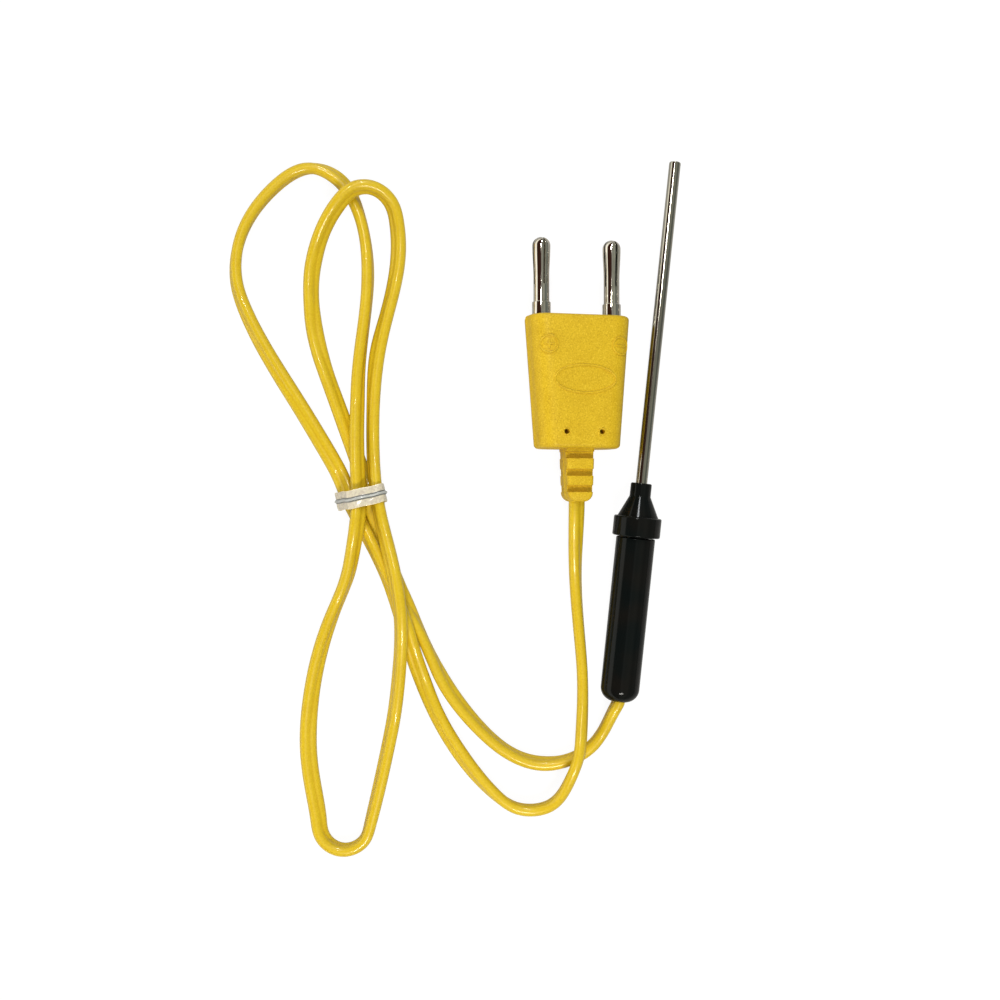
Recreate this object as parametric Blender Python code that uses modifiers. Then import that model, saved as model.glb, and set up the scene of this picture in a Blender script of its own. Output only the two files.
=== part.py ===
"""Temperature probe with a flat two-core cord and a moulded two-pin plug, lying on a flat surface.

Metres, +Z up. The probe points along +Y with the middle of its length over the origin. The handle
rests on its collar and tail, and the plug lies rolled on one long edge.
"""

import math

import bpy
import bmesh
import numpy as np
from mathutils import Matrix, Vector

# Gaps between neighbouring pieces
SEAT_GAP = 0.0003
WIRE_GAP = 0.00015
CORD_GAP = 0.00025

# Distance within which points of one mesh are welded
WELD = 0.000002

# Steel sheath and what it holds
SHEATH_DIAMETER = 0.0030
SHEATH_WALL = 0.0003
SHEATH_TIP_WALL = 0.0006
SHEATH_CHAMFER = 0.0003
SHEATH_VISIBLE = 0.0843
SHEATH_TAIL = 0.0057
ELEMENT_DIAMETER = 0.00035
ELEMENT_OFFSET = 0.0005
BEAD_DIAMETER = 0.0013
BEAD_GAP = 0.0002
END_SEAL_RECESS = 0.0005
END_SEAL_LENGTH = 0.0035
FERRULE_LENGTH = 0.0038
FERRULE_WALL = 0.0009

# Nose piece: spigot, collar, cone and nose cylinder
SPIGOT_LENGTH = 0.0055
COLLAR_DIAMETER = 0.0125
COLLAR_LENGTH = 0.0049
COLLAR_CHAMFER = 0.0005
CONE_DIAMETER = 0.0107
CONE_LENGTH = 0.0056
NOSE_DIAMETER = 0.0055
NOSE_LENGTH = 0.0033
NOSE_CHAMFER = 0.0003

# Grip: a tube with a closed, rounded tail
GRIP_DIAMETER = 0.0102
GRIP_LENGTH = 0.0434
GRIP_WALL = 0.00145
GRIP_CHAMFER = 0.0003
TAIL_ROUND = 0.0035
TAIL_WALL = 0.0040

# Joints between the element wires and the cord's cores, inside the grip
SPLICE_DIAMETER = 0.0022
SPLICE_LENGTH = 0.0065
SPLICE_OFFSET = 0.00145
SPLICE_BACK = 0.0045
SPLICE_LEAD_BORE = 0.0030

# Cord: two cores side by side in one flat jacket
CORD_WIDTH = 0.0046
CORD_THICKNESS = 0.0029
CORD_TUBE_POINTS = 80
CORD_IN_HANDLE = 0.0140
CORD_IN_PLUG = 0.0062
HANDLE_LEAN = 78
PLUG_LEAN = 37
BEND_WEIGHT = 0.012
FLOOR_GAP = 0.00005
LEAD_DIAMETER = 0.0012
LEAD_OFFSET = 0.0009
LEAD_GAP = 0.0002
CLAMP_WALL = 0.0005
CLAMP_LENGTH = 0.0030
CLAMP_BACK = 0.0010

# Plug moulding
PIN_PITCH = 0.0190
PLUG_LENGTH = 0.0342
PLUG_SHOULDER = 0.0044
PLUG_TAPER = 0.0051
PLUG_DRAFT = 0.0010
PLUG_THICKNESS = 0.0135
PLUG_LONG_FILLET = 0.0034
PLUG_END_FILLET = 0.0013
PLUG_ROLL = math.radians(12)
PLUG_TURN = math.radians(5.8)
PLUG_FRONT = (-0.0214, 0.0278)
PLUG_FRONT_WALL = 0.0027
FACE_HOLE_DIAMETER = 0.0013
FACE_HOLE_DEPTH = 0.0030
FACE_HOLE_OFFSET = 0.0047
FACE_HOLE_BACK = 0.0044

# Strain relief, moulded in one with the plug
RELIEF_LENGTH = 0.0135
RELIEF_WIDTH = 0.0080
RELIEF_TAPER = 0.0010
RELIEF_THICKNESS = 0.0084
RELIEF_FILLET = 0.0010
RELIEF_END_FILLET = 0.0007
RELIEF_ROOT = 0.0030
SLOT_STARTS = (0.0005, 0.0050, 0.0092)
SLOT_WIDTH = 0.00185
SLOT_DEPTH = 0.0016

# Pins and the hard carrier that holds them
PIN_LENGTH = 0.0208
PIN_DIAMETER = 0.0041
PIN_HEAD_DIAMETER = 0.0047
PIN_DOME_LENGTH = 0.0022
PIN_HEAD_LENGTH = 0.0085
PIN_COLLAR_DIAMETER = 0.0048
PIN_COLLAR_LENGTH = 0.0037
PIN_SHANK_DIAMETER = 0.0024
PIN_SHANK_LENGTH = 0.0160
PIN_SHOULDER_DIAMETER = 0.0036
PIN_SHOULDER_LENGTH = 0.0010
PIN_CUP_WALL = 0.0004
PIN_CUP_DEPTH = 0.0030
PIN_SLOT_LENGTH = 0.0123
PIN_SLOT_WIDTH = 0.00045
PIN_SLOT_TURNS = {"positive": math.radians(6), "negative": math.radians(29)}
CORE_LENGTH = 0.0075
CORE_THICKNESS = 0.0070
CORE_SIDE_WALL = 0.0005
CORE_CHAMFER = 0.0008

# Tie: a plastic ribbon with a wire down its middle, lapped low on the bundle's left side
TIE_CENTRE = (-0.0725, -0.02415)
TIE_TURN = math.radians(16.6)
TIE_REACH = 0.010
TIE_WIDTH = 0.0048
TIE_THICKNESS = 0.0004
TIE_WIRE_DIAMETER = 0.0006
TIE_WIRE_END = 0.0005
TIE_GAP = 0.00025
TIE_LAYER = 0.00067
TIE_START = math.radians(-176)
TIE_LAP = math.radians(40)
TIE_RISE = math.radians(70)

# Side of the cord, looking from the handle to the plug, on which each core lies
SIDES = {"positive": 1, "negative": -1}

# Colour, roughness and metallic value of each kind of material
FINISHES = {
    "black_plastic": ((0.010, 0.010, 0.012), 0.22, 0.0),
    "steel": ((0.55, 0.53, 0.50), 0.22, 1.0),
    "ceramic": ((0.85, 0.83, 0.78), 0.55, 0.0),
    "bead": ((0.30, 0.29, 0.28), 0.40, 1.0),
    "chromel": ((0.60, 0.58, 0.55), 0.30, 1.0),
    "alumel": ((0.48, 0.47, 0.45), 0.35, 1.0),
    "seal": ((0.55, 0.25, 0.12), 0.45, 0.0),
    "brass": ((0.75, 0.56, 0.26), 0.30, 1.0),
    "yellow_insulation": ((0.85, 0.62, 0.03), 0.40, 0.0),
    "red_insulation": ((0.60, 0.03, 0.02), 0.40, 0.0),
    "yellow_jacket": ((0.86, 0.66, 0.02), 0.30, 0.0),
    "yellow_moulding": ((0.88, 0.68, 0.03), 0.45, 0.0),
    "carrier": ((0.80, 0.78, 0.70), 0.50, 0.0),
    "nickel": ((0.62, 0.60, 0.56), 0.14, 1.0),
    "ribbon": ((0.80, 0.77, 0.66), 0.45, 0.0),
}

# The cord's route where it is free, from the handle to the plug: x, y, z of its middle, and its lean
# in degrees, 0 where it lies flat and 90 where it stands on its narrow edge
CORD_ROUTE = [
    (-0.0008, -0.0732, 0.0047, 82), (-0.0037, -0.0812, 0.0024, 88), (-0.0060, -0.0845, 0.0023, 86),
    (-0.0131, -0.0890, 0.0023, 82), (-0.0172, -0.0899, 0.0023, 68), (-0.0235, -0.0894, 0.0023, 71),
    (-0.0363, -0.0819, 0.0023, 64), (-0.0477, -0.0692, 0.0023, 62), (-0.0501, -0.0654, 0.0023, 80),
    (-0.0565, -0.0548, 0.0023, 66), (-0.0595, -0.0502, 0.0019, 26), (-0.0645, -0.0411, 0.0015, 0),
    (-0.0698, -0.0281, 0.0027, 0), (-0.0714, -0.0240, 0.0031, 0), (-0.0753, -0.0147, 0.0020, 35),
    (-0.0779, -0.0093, 0.0021, 43), (-0.0829, 0.0011, 0.0021, 49), (-0.0857, 0.0069, 0.0021, 50),
    (-0.0903, 0.0188, 0.0019, 25), (-0.0917, 0.0250, 0.0021, 46), (-0.0923, 0.0378, 0.0021, 42),
    (-0.0909, 0.0437, 0.0037, 50), (-0.0862, 0.0525, 0.0069, 52), (-0.0832, 0.0559, 0.0069, 62),
    (-0.0794, 0.0572, 0.0062, 72), (-0.0755, 0.0562, 0.0049, 64), (-0.0727, 0.0533, 0.0034, 52),
    (-0.0714, 0.0496, 0.0024, 46), (-0.0702, 0.0419, 0.0021, 40), (-0.0720, 0.0223, 0.0021, 48),
    (-0.0729, 0.0160, 0.0020, 36), (-0.0729, 0.0032, 0.0022, 56), (-0.0712, -0.0128, 0.0038, 62),
    (-0.0689, -0.0232, 0.0071, 62), (-0.0677, -0.0276, 0.0068, 62), (-0.0640, -0.0377, 0.0088, 52),
    (-0.0595, -0.0523, 0.0105, 64), (-0.0584, -0.0698, 0.0059, 60), (-0.0590, -0.0836, 0.0022, 58),
    (-0.0596, -0.0898, 0.0022, 60), (-0.0612, -0.1034, 0.0023, 64), (-0.0623, -0.1113, 0.0023, 74),
    (-0.0632, -0.1148, 0.0023, 80), (-0.0657, -0.1173, 0.0023, 82), (-0.0690, -0.1182, 0.0023, 80),
    (-0.0723, -0.1173, 0.0023, 70), (-0.0748, -0.1148, 0.0023, 56), (-0.0761, -0.1108, 0.0021, 42),
    (-0.0781, -0.1036, 0.0019, 32), (-0.0804, -0.0943, 0.0019, 30), (-0.0812, -0.0878, 0.0019, 28),
    (-0.0814, -0.0813, 0.0020, 38), (-0.0787, -0.0592, 0.0023, 64), (-0.0767, -0.0521, 0.0024, 76),
    (-0.0747, -0.0455, 0.0044, 70), (-0.0736, -0.0387, 0.0071, 62), (-0.0730, -0.0278, 0.0086, 52),
    (-0.0734, -0.0239, 0.0073, 50), (-0.0741, -0.0198, 0.0068, 54), (-0.0762, -0.0061, 0.0041, 60),
    (-0.0770, 0.0015, 0.0023, 64), (-0.0775, 0.0100, 0.0023, 74), (-0.0773, 0.0282, 0.0023, 84),
    (-0.0776, 0.0346, 0.0023, 80), (-0.0821, 0.0518, 0.0023, 80), (-0.0878, 0.0593, 0.0021, 48),
    (-0.0958, 0.0616, 0.0023, 78), (-0.1045, 0.0559, 0.0023, 88), (-0.1128, 0.0392, 0.0023, 76),
    (-0.1120, 0.0285, 0.0022, 62), (-0.1094, 0.0226, 0.0022, 52), (-0.0922, -0.0018, 0.0017, 16),
    (-0.0845, -0.0121, 0.0016, 6), (-0.0799, -0.0187, 0.0017, 0), (-0.0765, -0.0245, 0.0036, 8),
    (-0.0725, -0.0313, 0.0039, 50), (-0.0694, -0.0359, 0.0048, 62), (-0.0641, -0.0445, 0.0055, 62),
    (-0.0576, -0.0581, 0.0056, 22), (-0.0548, -0.0652, 0.0042, 16), (-0.0522, -0.0712, 0.0022, 20),
    (-0.0485, -0.0782, 0.0020, 34), (-0.0401, -0.0898, 0.0020, 38), (-0.0299, -0.0994, 0.0023, 70),
    (-0.0238, -0.1025, 0.0023, 86), (-0.0156, -0.1010, 0.0032, 88), (-0.0110, -0.0931, 0.0068, 84),
    (-0.0091, -0.0849, 0.0076, 78), (-0.0090, -0.0807, 0.0063, 76), (-0.0097, -0.0676, 0.0024, 84),
    (-0.0121, -0.0536, 0.0023, 82), (-0.0146, -0.0388, 0.0031, 70),
]

PARTS = bpy.data.collections.new("temperature_probe")
CUTTERS = bpy.data.collections.new("cutters")


def clear_scene():
    for obj in list(bpy.data.objects):
        bpy.data.objects.remove(obj)
    for collection in (PARTS, CUTTERS):
        bpy.context.scene.collection.children.link(collection)
    CUTTERS.hide_render = True


def material(name, kind):
    colour, roughness, metallic = FINISHES[kind]
    made = bpy.data.materials.new(name)
    made.use_nodes = True
    shader = made.node_tree.nodes["Principled BSDF"]
    shader.inputs["Base Color"].default_value = (*colour, 1)
    shader.inputs["Roughness"].default_value = roughness
    shader.inputs["Metallic"].default_value = metallic
    made.diffuse_color = (*colour, 1)
    return made


def frame(name, matrix):
    """An empty that carries the pieces built along its Z axis."""
    empty = bpy.data.objects.new(name, None)
    PARTS.objects.link(empty)
    empty.matrix_world = matrix
    return empty


def add_object(name, data, parent, finish):
    """A piece with its own material, or a cutter where no finish is given."""
    obj = bpy.data.objects.new(name, data)
    obj.parent = parent
    if finish:
        data.materials.append(material(name, finish))
        PARTS.objects.link(obj)
    else:
        CUTTERS.objects.link(obj)
        obj.hide_render = True
        obj.display_type = "WIRE"
    return obj


def arc(centre, radii, start, end, steps=6):
    """Points of an elliptical arc about centre, its angles in degrees, 0 along the radius."""
    angles = [math.radians(start + (end - start) * i / steps) for i in range(steps + 1)]
    return [(centre[0] + radii[0] * math.cos(a), centre[1] + radii[1] * math.sin(a)) for a in angles]


def turned(name, profile, parent, finish=None, sides=32, ring=False):
    """A turned piece: (radius, height) points that run down the outer side, screwed round Z.

    The points of a ring make a closed loop, and the others start and end on the axis.
    """
    mesh = bpy.data.meshes.new(name)
    edges = [(i, i + 1) for i in range(len(profile) - 1)]
    if ring:
        edges.append((len(profile) - 1, 0))
    mesh.from_pydata([(radius, 0, height) for radius, height in profile], edges, [])
    obj = add_object(name, mesh, parent, finish)
    screw = obj.modifiers.new("turn", "SCREW")
    screw.axis = "Z"
    screw.angle = math.tau
    screw.steps = screw.render_steps = sides
    screw.use_merge_vertices = True
    screw.merge_threshold = WELD
    return obj


def rod(name, diameter, bottom, top, parent, offset=0.0, finish=None, sides=24):
    """A plain cylinder along Z, from bottom to top, its axis moved by offset along X."""
    mesh = bpy.data.meshes.new(name)
    form = bmesh.new()
    place = Matrix.Translation((offset, 0, (bottom + top) / 2))
    bmesh.ops.create_cone(form, cap_ends=True, segments=sides, radius1=diameter / 2,
                          radius2=diameter / 2, depth=top - bottom, matrix=place)
    form.to_mesh(mesh)
    form.free()
    return add_object(name, mesh, parent, finish)


def block(size, centre=(0, 0, 0)):
    """A bmesh box of this size about this centre."""
    form = bmesh.new()
    place = Matrix.Translation(centre) @ Matrix.Diagonal((*size, 1))
    bmesh.ops.create_cube(form, size=1.0, matrix=place)
    return form


def taper(form, axis, front, back, front_half, back_half):
    """Sets the half width along one axis, at the front and at the back of a box along Z."""
    for vert in form.verts:
        half = front_half if abs(vert.co.z - front) < abs(vert.co.z - back) else back_half
        vert.co[axis] = math.copysign(half, vert.co[axis])


def draw_in(form, inset):
    """Parts a box at its middle height, and draws its top and bottom in from the parting line."""
    everything = form.verts[:] + form.edges[:] + form.faces[:]
    bmesh.ops.bisect_plane(form, geom=everything, plane_co=(0, 0, 0), plane_no=(0, 1, 0))
    crossing = [edge for edge in form.edges
                if all(abs(vert.co.y) < WELD for vert in edge.verts)
                and abs(edge.verts[0].co.z - edge.verts[1].co.z) < WELD]
    bmesh.ops.dissolve_edges(form, edges=crossing)
    for vert in form.verts:
        if abs(vert.co.y) > WELD:
            vert.co.x -= math.copysign(inset, vert.co.x)


def edges_along_z(form):
    """The edges of a box that run from its front to its back."""
    return [edge for edge in form.edges
            if abs(edge.verts[0].co.z - edge.verts[1].co.z) > 0.9 * edge.calc_length()]


def edges_at_z(form, height):
    """The edges that lie at this height."""
    return [edge for edge in form.edges
            if all(abs(vert.co.z - height) < 1e-6 for vert in edge.verts)]


def soften(form, edges, width, segments):
    bmesh.ops.bevel(form, geom=edges, offset=width, offset_type="OFFSET", segments=segments,
                    profile=0.5, affect="EDGES", clamp_overlap=True)


def solid(name, form, parent, finish=None):
    mesh = bpy.data.meshes.new(name)
    form.to_mesh(mesh)
    form.free()
    return add_object(name, mesh, parent, finish)


def combine(obj, other, operation="DIFFERENCE"):
    modifier = obj.modifiers.new(other.name, "BOOLEAN")
    modifier.operation = operation
    modifier.object = other


def evaluated_mesh(obj):
    """The object's evaluated shape as a new mesh, with its seams and caps welded."""
    evaluated = obj.evaluated_get(bpy.context.evaluated_depsgraph_get())
    mesh = bpy.data.meshes.new_from_object(evaluated)
    form = bmesh.new()
    form.from_mesh(mesh)
    bmesh.ops.remove_doubles(form, verts=form.verts, dist=WELD)
    bmesh.ops.recalc_face_normals(form, faces=form.faces)
    form.to_mesh(mesh)
    form.free()
    return mesh


def meshed(curve_object):
    """The same piece as a mesh object."""
    bpy.context.view_layer.update()
    name = curve_object.name
    collection = curve_object.users_collection[0]
    cutter = curve_object.hide_render
    parent = curve_object.parent
    place = curve_object.matrix_world.copy()
    mesh = evaluated_mesh(curve_object)
    bpy.data.objects.remove(curve_object)
    made = bpy.data.objects.new(name, mesh)
    collection.objects.link(made)
    made.parent = parent
    made.matrix_world = place
    made.hide_render = cutter
    if cutter:
        made.display_type = "WIRE"
    return made


def shade_pieces():
    """Shades the round surfaces smooth, and keeps the corners sharp."""
    for obj in PARTS.objects:
        if obj.type == "MESH":
            obj.data.shade_smooth()
            obj.data.set_sharp_from_angle(angle=math.radians(32))


def natural_spline(knots, values, where):
    """Reads a natural cubic spline through the values at the knots."""
    count = len(knots)
    gaps = np.diff(knots)
    slopes = np.diff(values, axis=0) / gaps[:, None]
    system = np.eye(count)
    right = np.zeros_like(values)
    for i in range(1, count - 1):
        system[i, i - 1:i + 2] = gaps[i - 1], 2 * (gaps[i - 1] + gaps[i]), gaps[i]
        right[i] = 6 * (slopes[i] - slopes[i - 1])
    bends = np.linalg.solve(system, right)
    i = np.clip(np.searchsorted(knots, where) - 1, 0, count - 2)
    gap = gaps[i][:, None]
    before = (where - knots[i])[:, None]
    after = gap - before
    bent = (bends[i] * after**3 + bends[i + 1] * before**3) / (6 * gap)
    left = (values[i] / gap - bends[i] * gap / 6) * after
    return bent + left + (values[i + 1] / gap - bends[i + 1] * gap / 6) * before


def half_height(lean):
    """Half the height of the cord's section where it leans by this angle in radians."""
    return CORD_THICKNESS / 2 + (CORD_WIDTH - CORD_THICKNESS) / 2 * np.sin(lean)


def smooth_route(start, free, end, count):
    """The cord as a smooth curve: places and leans at count points, closer where it bends.

    It is straight along the held points at its start and at its end.
    """
    rows = np.array(start + free + end, float)
    knots = np.append(0, np.cumsum(np.linalg.norm(np.diff(rows[:, :3], axis=0), axis=1)))
    fine = np.linspace(knots[len(start) - 1], knots[-len(end)], 3000)
    runs = np.diff(natural_spline(knots, rows, fine)[:, :3], axis=0)
    lengths = np.linalg.norm(runs, axis=1)
    turns = np.linalg.norm(np.diff(runs / lengths[:, None], axis=0), axis=1)
    weights = np.append(0, np.cumsum(lengths + BEND_WEIGHT * np.append(turns, 0)))
    where = np.interp(np.linspace(0, weights[-1], count - 2), weights, fine)
    read = natural_spline(knots, rows, np.concatenate([knots[:1], where, knots[-1:]]))
    leans = np.radians(read[:, 3])
    places = read[:, :3]
    places[:, 2] = np.maximum(places[:, 2], half_height(leans) + FLOOR_GAP)
    return places, leans


def wide_axis(heading, lean):
    """The direction of the cord's wide side: level, to its left, at lean 0, and up at 90 degrees."""
    left = Vector((-heading.y, heading.x, 0)).normalized()
    return math.cos(lean) * left + math.sin(lean) * heading.cross(left)


def flat_cord(name, places, leans, grow=0.0, finish=None):
    """The cord's flat, round-edged section carried along these points, grown all round."""
    curve = bpy.data.curves.new(name, "CURVE")
    curve.dimensions = "3D"
    curve.twist_mode = "Z_UP"
    curve.extrude = (CORD_WIDTH - CORD_THICKNESS) / 2
    curve.bevel_depth = CORD_THICKNESS / 2 + grow
    curve.bevel_resolution = 2
    curve.use_fill_caps = True
    line = curve.splines.new("POLY")
    line.points.add(len(places) - 1)
    for point, place, lean in zip(line.points, places, leans):
        point.co = (*place, 1)
        # The section's wide side stands upright where the tilt is 0
        point.tilt = lean - math.pi / 2
    return add_object(name, curve, None, finish)


def held_cord(name, axis, start, end, lean, grow, finish=None):
    """The cord's section, grown all round, carried straight along the handle or the plug."""
    places = [axis.matrix_world @ Vector((0, 0, station)) for station in (start, end)]
    return meshed(flat_cord(name, places, [math.radians(lean)] * 2, grow, finish))


def wire(name, points, diameter, parent, finish=None):
    """A round wire along these points."""
    curve = bpy.data.curves.new(name, "CURVE")
    curve.dimensions = "3D"
    curve.bevel_depth = diameter / 2
    curve.bevel_resolution = 2
    curve.use_fill_caps = True
    line = curve.splines.new("POLY")
    line.points.add(len(points) - 1)
    for point, place in zip(line.points, points):
        point.co = (*place, 1)
    return add_object(name, curve, parent, finish)


def s_bend(start, end, steps=8):
    """Points from start to end that leave and arrive along Z, easing sideways between them."""
    points = []
    for i in range(steps + 1):
        share = i / steps
        ease = share * share * (3 - 2 * share)
        points.append((start[0] + (end[0] - start[0]) * ease,
                       start[1] + (end[1] - start[1]) * ease,
                       start[2] + (end[2] - start[2]) * share))
    return points


def handle_frame():
    """The probe's axis: its Z runs from the tail to the tip, and its -Y is up.

    The handle tilts until its collar and its rounded tail both touch the surface.
    """
    collar = COLLAR_DIAMETER / 2
    collar_edge = GRIP_LENGTH + SEAT_GAP + COLLAR_CHAMFER
    tail_centre = GRIP_DIAMETER / 2 - TAIL_ROUND
    across = collar - tail_centre
    along = collar_edge - TAIL_ROUND
    tilt = math.acos(TAIL_ROUND / math.hypot(across, along)) - math.atan2(along, across)
    height = collar * math.cos(tilt) - collar_edge * math.sin(tilt)
    middle = TIP * math.cos(tilt) / 2
    place = Matrix.Translation((0, -middle, height)) @ Matrix.Rotation(tilt - math.pi / 2, 4, "X")
    return frame("handle_axis", place)


def plug_frame():
    """The plug's axis: its Z runs out along the pins from the front face, its +X is right."""
    half = PLUG_THICKNESS / 2
    deep = half - PLUG_LONG_FILLET
    flat = (PLUG_FRONT_WIDTH / 2 - PLUG_DRAFT * deep / half
            - PLUG_LONG_FILLET * math.hypot(1, PLUG_DRAFT / half))
    height = flat * math.sin(PLUG_ROLL) + deep * math.cos(PLUG_ROLL) + PLUG_LONG_FILLET
    turns = (Matrix.Rotation(PLUG_TURN, 4, "Z") @ Matrix.Rotation(PLUG_ROLL, 4, "Y")
             @ Matrix.Rotation(-math.pi / 2, 4, "X"))
    return frame("plug_axis", Matrix.Translation((*PLUG_FRONT, height + FLOOR_GAP)) @ turns)


# Stations along the probe's axis, from the tail
COLLAR_BACK = GRIP_LENGTH + SEAT_GAP
COLLAR_FRONT = COLLAR_BACK + COLLAR_LENGTH
CONE_FRONT = COLLAR_FRONT + CONE_LENGTH
NOSE_FRONT = CONE_FRONT + NOSE_LENGTH
TIP = NOSE_FRONT + SHEATH_VISIBLE
SPIGOT_BACK = COLLAR_BACK - SPIGOT_LENGTH
FERRULE_BACK = SPIGOT_BACK - SEAT_GAP - FERRULE_LENGTH
SHEATH_BACK = SPIGOT_BACK - SHEATH_TAIL
SPLICE_FRONT = SHEATH_BACK - SPLICE_BACK
SPLICE_REAR = SPLICE_FRONT - SPLICE_LENGTH
CORD_END = CORD_IN_HANDLE

# Sizes that follow from the fits
GRIP_BORE = GRIP_DIAMETER - 2 * GRIP_WALL
SHEATH_BORE = SHEATH_DIAMETER - 2 * SHEATH_WALL
SLIDE_BORE = SHEATH_DIAMETER + 2 * SEAT_GAP
FILL_DIAMETER = SHEATH_BORE - 2 * WIRE_GAP
ELEMENT_BORE = ELEMENT_DIAMETER + 2 * WIRE_GAP
LEAD_BORE = LEAD_DIAMETER + 2 * LEAD_GAP
PLUG_FRONT_WIDTH = PIN_PITCH + 2 * PLUG_SHOULDER
SHANK_BORE = PIN_SHANK_DIAMETER + 2 * SEAT_GAP
CORE_WIDTH = PIN_PITCH + SHANK_BORE + 2 * CORE_SIDE_WALL


def make_grip(axis):
    """The tube of the handle, with a slot in its tail for the cord."""
    radius = GRIP_DIAMETER / 2
    bore = GRIP_BORE / 2
    profile = [(0, TAIL_WALL), (bore, TAIL_WALL), (bore, GRIP_LENGTH),
               (radius - GRIP_CHAMFER, GRIP_LENGTH), (radius, GRIP_LENGTH - GRIP_CHAMFER)]
    profile += arc((radius - TAIL_ROUND, TAIL_ROUND), (TAIL_ROUND, TAIL_ROUND), 0, -90)
    grip = turned("handle_grip", profile + [(0, 0)], axis, "black_plastic", 48)
    slot = held_cord("tail_slot", axis, 2 * TAIL_WALL, -TAIL_WALL, HANDLE_LEAN, CORD_GAP)
    combine(grip, slot)


def make_nose(axis):
    """Spigot, collar, cone and nose, bored through for the sheath."""
    spigot = GRIP_BORE / 2 - SEAT_GAP
    collar = COLLAR_DIAMETER / 2
    nose = NOSE_DIAMETER / 2
    bore = SLIDE_BORE / 2
    profile = [
        (bore, NOSE_FRONT),
        (nose - NOSE_CHAMFER, NOSE_FRONT),
        (nose, NOSE_FRONT - NOSE_CHAMFER),
        (nose, CONE_FRONT),
        (CONE_DIAMETER / 2, COLLAR_FRONT),
        (collar - COLLAR_CHAMFER, COLLAR_FRONT),
        (collar, COLLAR_FRONT - COLLAR_CHAMFER),
        (collar, COLLAR_BACK + COLLAR_CHAMFER),
        (collar - COLLAR_CHAMFER, COLLAR_BACK),
        (spigot, COLLAR_BACK),
        (spigot, SPIGOT_BACK),
        (bore, SPIGOT_BACK),
    ]
    turned("handle_nose", profile, axis, "black_plastic", 48, ring=True)


def make_sheath(axis):
    """The closed steel tube, and the crimped ring that stops it from pulling out."""
    radius = SHEATH_DIAMETER / 2
    bore = SHEATH_BORE / 2
    profile = [(0, TIP), (radius - SHEATH_CHAMFER, TIP), (radius, TIP - SHEATH_CHAMFER),
               (radius, SHEATH_BACK), (bore, SHEATH_BACK), (bore, TIP - SHEATH_TIP_WALL),
               (0, TIP - SHEATH_TIP_WALL)]
    turned("probe_sheath", profile, axis, "steel", 32)
    inner = SLIDE_BORE / 2
    outer = inner + FERRULE_WALL
    front = FERRULE_BACK + FERRULE_LENGTH
    turned("sheath_ferrule", [(inner, front), (outer, front), (outer, FERRULE_BACK),
                              (inner, FERRULE_BACK)], axis, "steel", 32, ring=True)


def make_element(axis):
    """The thermocouple: a bead in the tip, two wires in a twin-bore insulator, and the seal behind."""
    bead_middle = TIP - SHEATH_TIP_WALL - BEAD_GAP - BEAD_DIAMETER / 2
    wires_front = bead_middle - BEAD_DIAMETER / 2
    form = bmesh.new()
    bmesh.ops.create_uvsphere(form, u_segments=16, v_segments=10, radius=BEAD_DIAMETER / 2,
                              matrix=Matrix.Translation((0, 0, bead_middle)))
    solid("hot_junction_bead", form, axis, "bead")
    seal_back = SHEATH_BACK + END_SEAL_RECESS
    seal_front = seal_back + END_SEAL_LENGTH
    seal = rod("sheath_end_seal", FILL_DIAMETER, seal_back, seal_front, axis, finish="seal")
    insulator = rod("sheath_insulator", FILL_DIAMETER, seal_front + SEAT_GAP,
                    wires_front - SEAT_GAP, axis, finish="ceramic")
    for pole, side in SIDES.items():
        bore = rod(pole + "_element_bore", ELEMENT_BORE, SHEATH_BACK, TIP, axis,
                   side * ELEMENT_OFFSET, sides=12)
        combine(seal, bore)
        combine(insulator, bore)
        spread = s_bend((side * ELEMENT_OFFSET, 0, SHEATH_BACK),
                        (side * SPLICE_OFFSET, 0, SPLICE_FRONT + SEAT_GAP))
        points = [(side * ELEMENT_OFFSET, 0, wires_front), *spread,
                  (side * SPLICE_OFFSET, 0, SPLICE_REAR + SPLICE_LEAD_BORE + SEAT_GAP)]
        alloy = "chromel" if side > 0 else "alumel"
        wire(pole + "_element_wire", points, ELEMENT_DIAMETER, axis, alloy)


def make_splices(axis, cord_wide):
    """Brass joints that take an element wire in front and a cord core behind."""
    outer = SPLICE_DIAMETER / 2
    narrow = ELEMENT_BORE / 2
    wide = LEAD_BORE / 2
    step = SPLICE_REAR + SPLICE_LEAD_BORE
    profile = [(narrow, SPLICE_FRONT), (outer, SPLICE_FRONT), (outer, SPLICE_REAR),
               (wide, SPLICE_REAR), (wide, step), (narrow, step)]
    for pole, side in SIDES.items():
        splice = turned(pole + "_splice", profile, axis, "brass", 24, ring=True)
        splice.location.x = side * SPLICE_OFFSET
        start = (side * LEAD_OFFSET * cord_wide.x, side * LEAD_OFFSET * cord_wide.y,
                 CORD_END + SEAT_GAP)
        bend = s_bend(start, (side * SPLICE_OFFSET, 0, SPLICE_REAR))
        points = bend + [(side * SPLICE_OFFSET, 0, step - SEAT_GAP)]
        insulation = "yellow_insulation" if side > 0 else "red_insulation"
        wire("handle_" + pole + "_lead", points, LEAD_DIAMETER, axis, insulation)


def make_clamp(axis):
    """The band pressed round the cord inside the grip, which keeps it from pulling out."""
    front = CORD_END - CLAMP_BACK
    back = front - CLAMP_LENGTH
    clamp = held_cord("handle_cord_clamp", axis, front, back, HANDLE_LEAN, CORD_GAP + CLAMP_WALL,
                      "steel")
    combine(clamp, held_cord("clamp_bore", axis, TIP, 0, HANDLE_LEAN, CORD_GAP))


def body_half_width(depth):
    """Half the plug's width on its parting line, at this depth behind its front face."""
    return PLUG_FRONT_WIDTH / 2 - PLUG_TAPER / 2 * depth / PLUG_LENGTH


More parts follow.
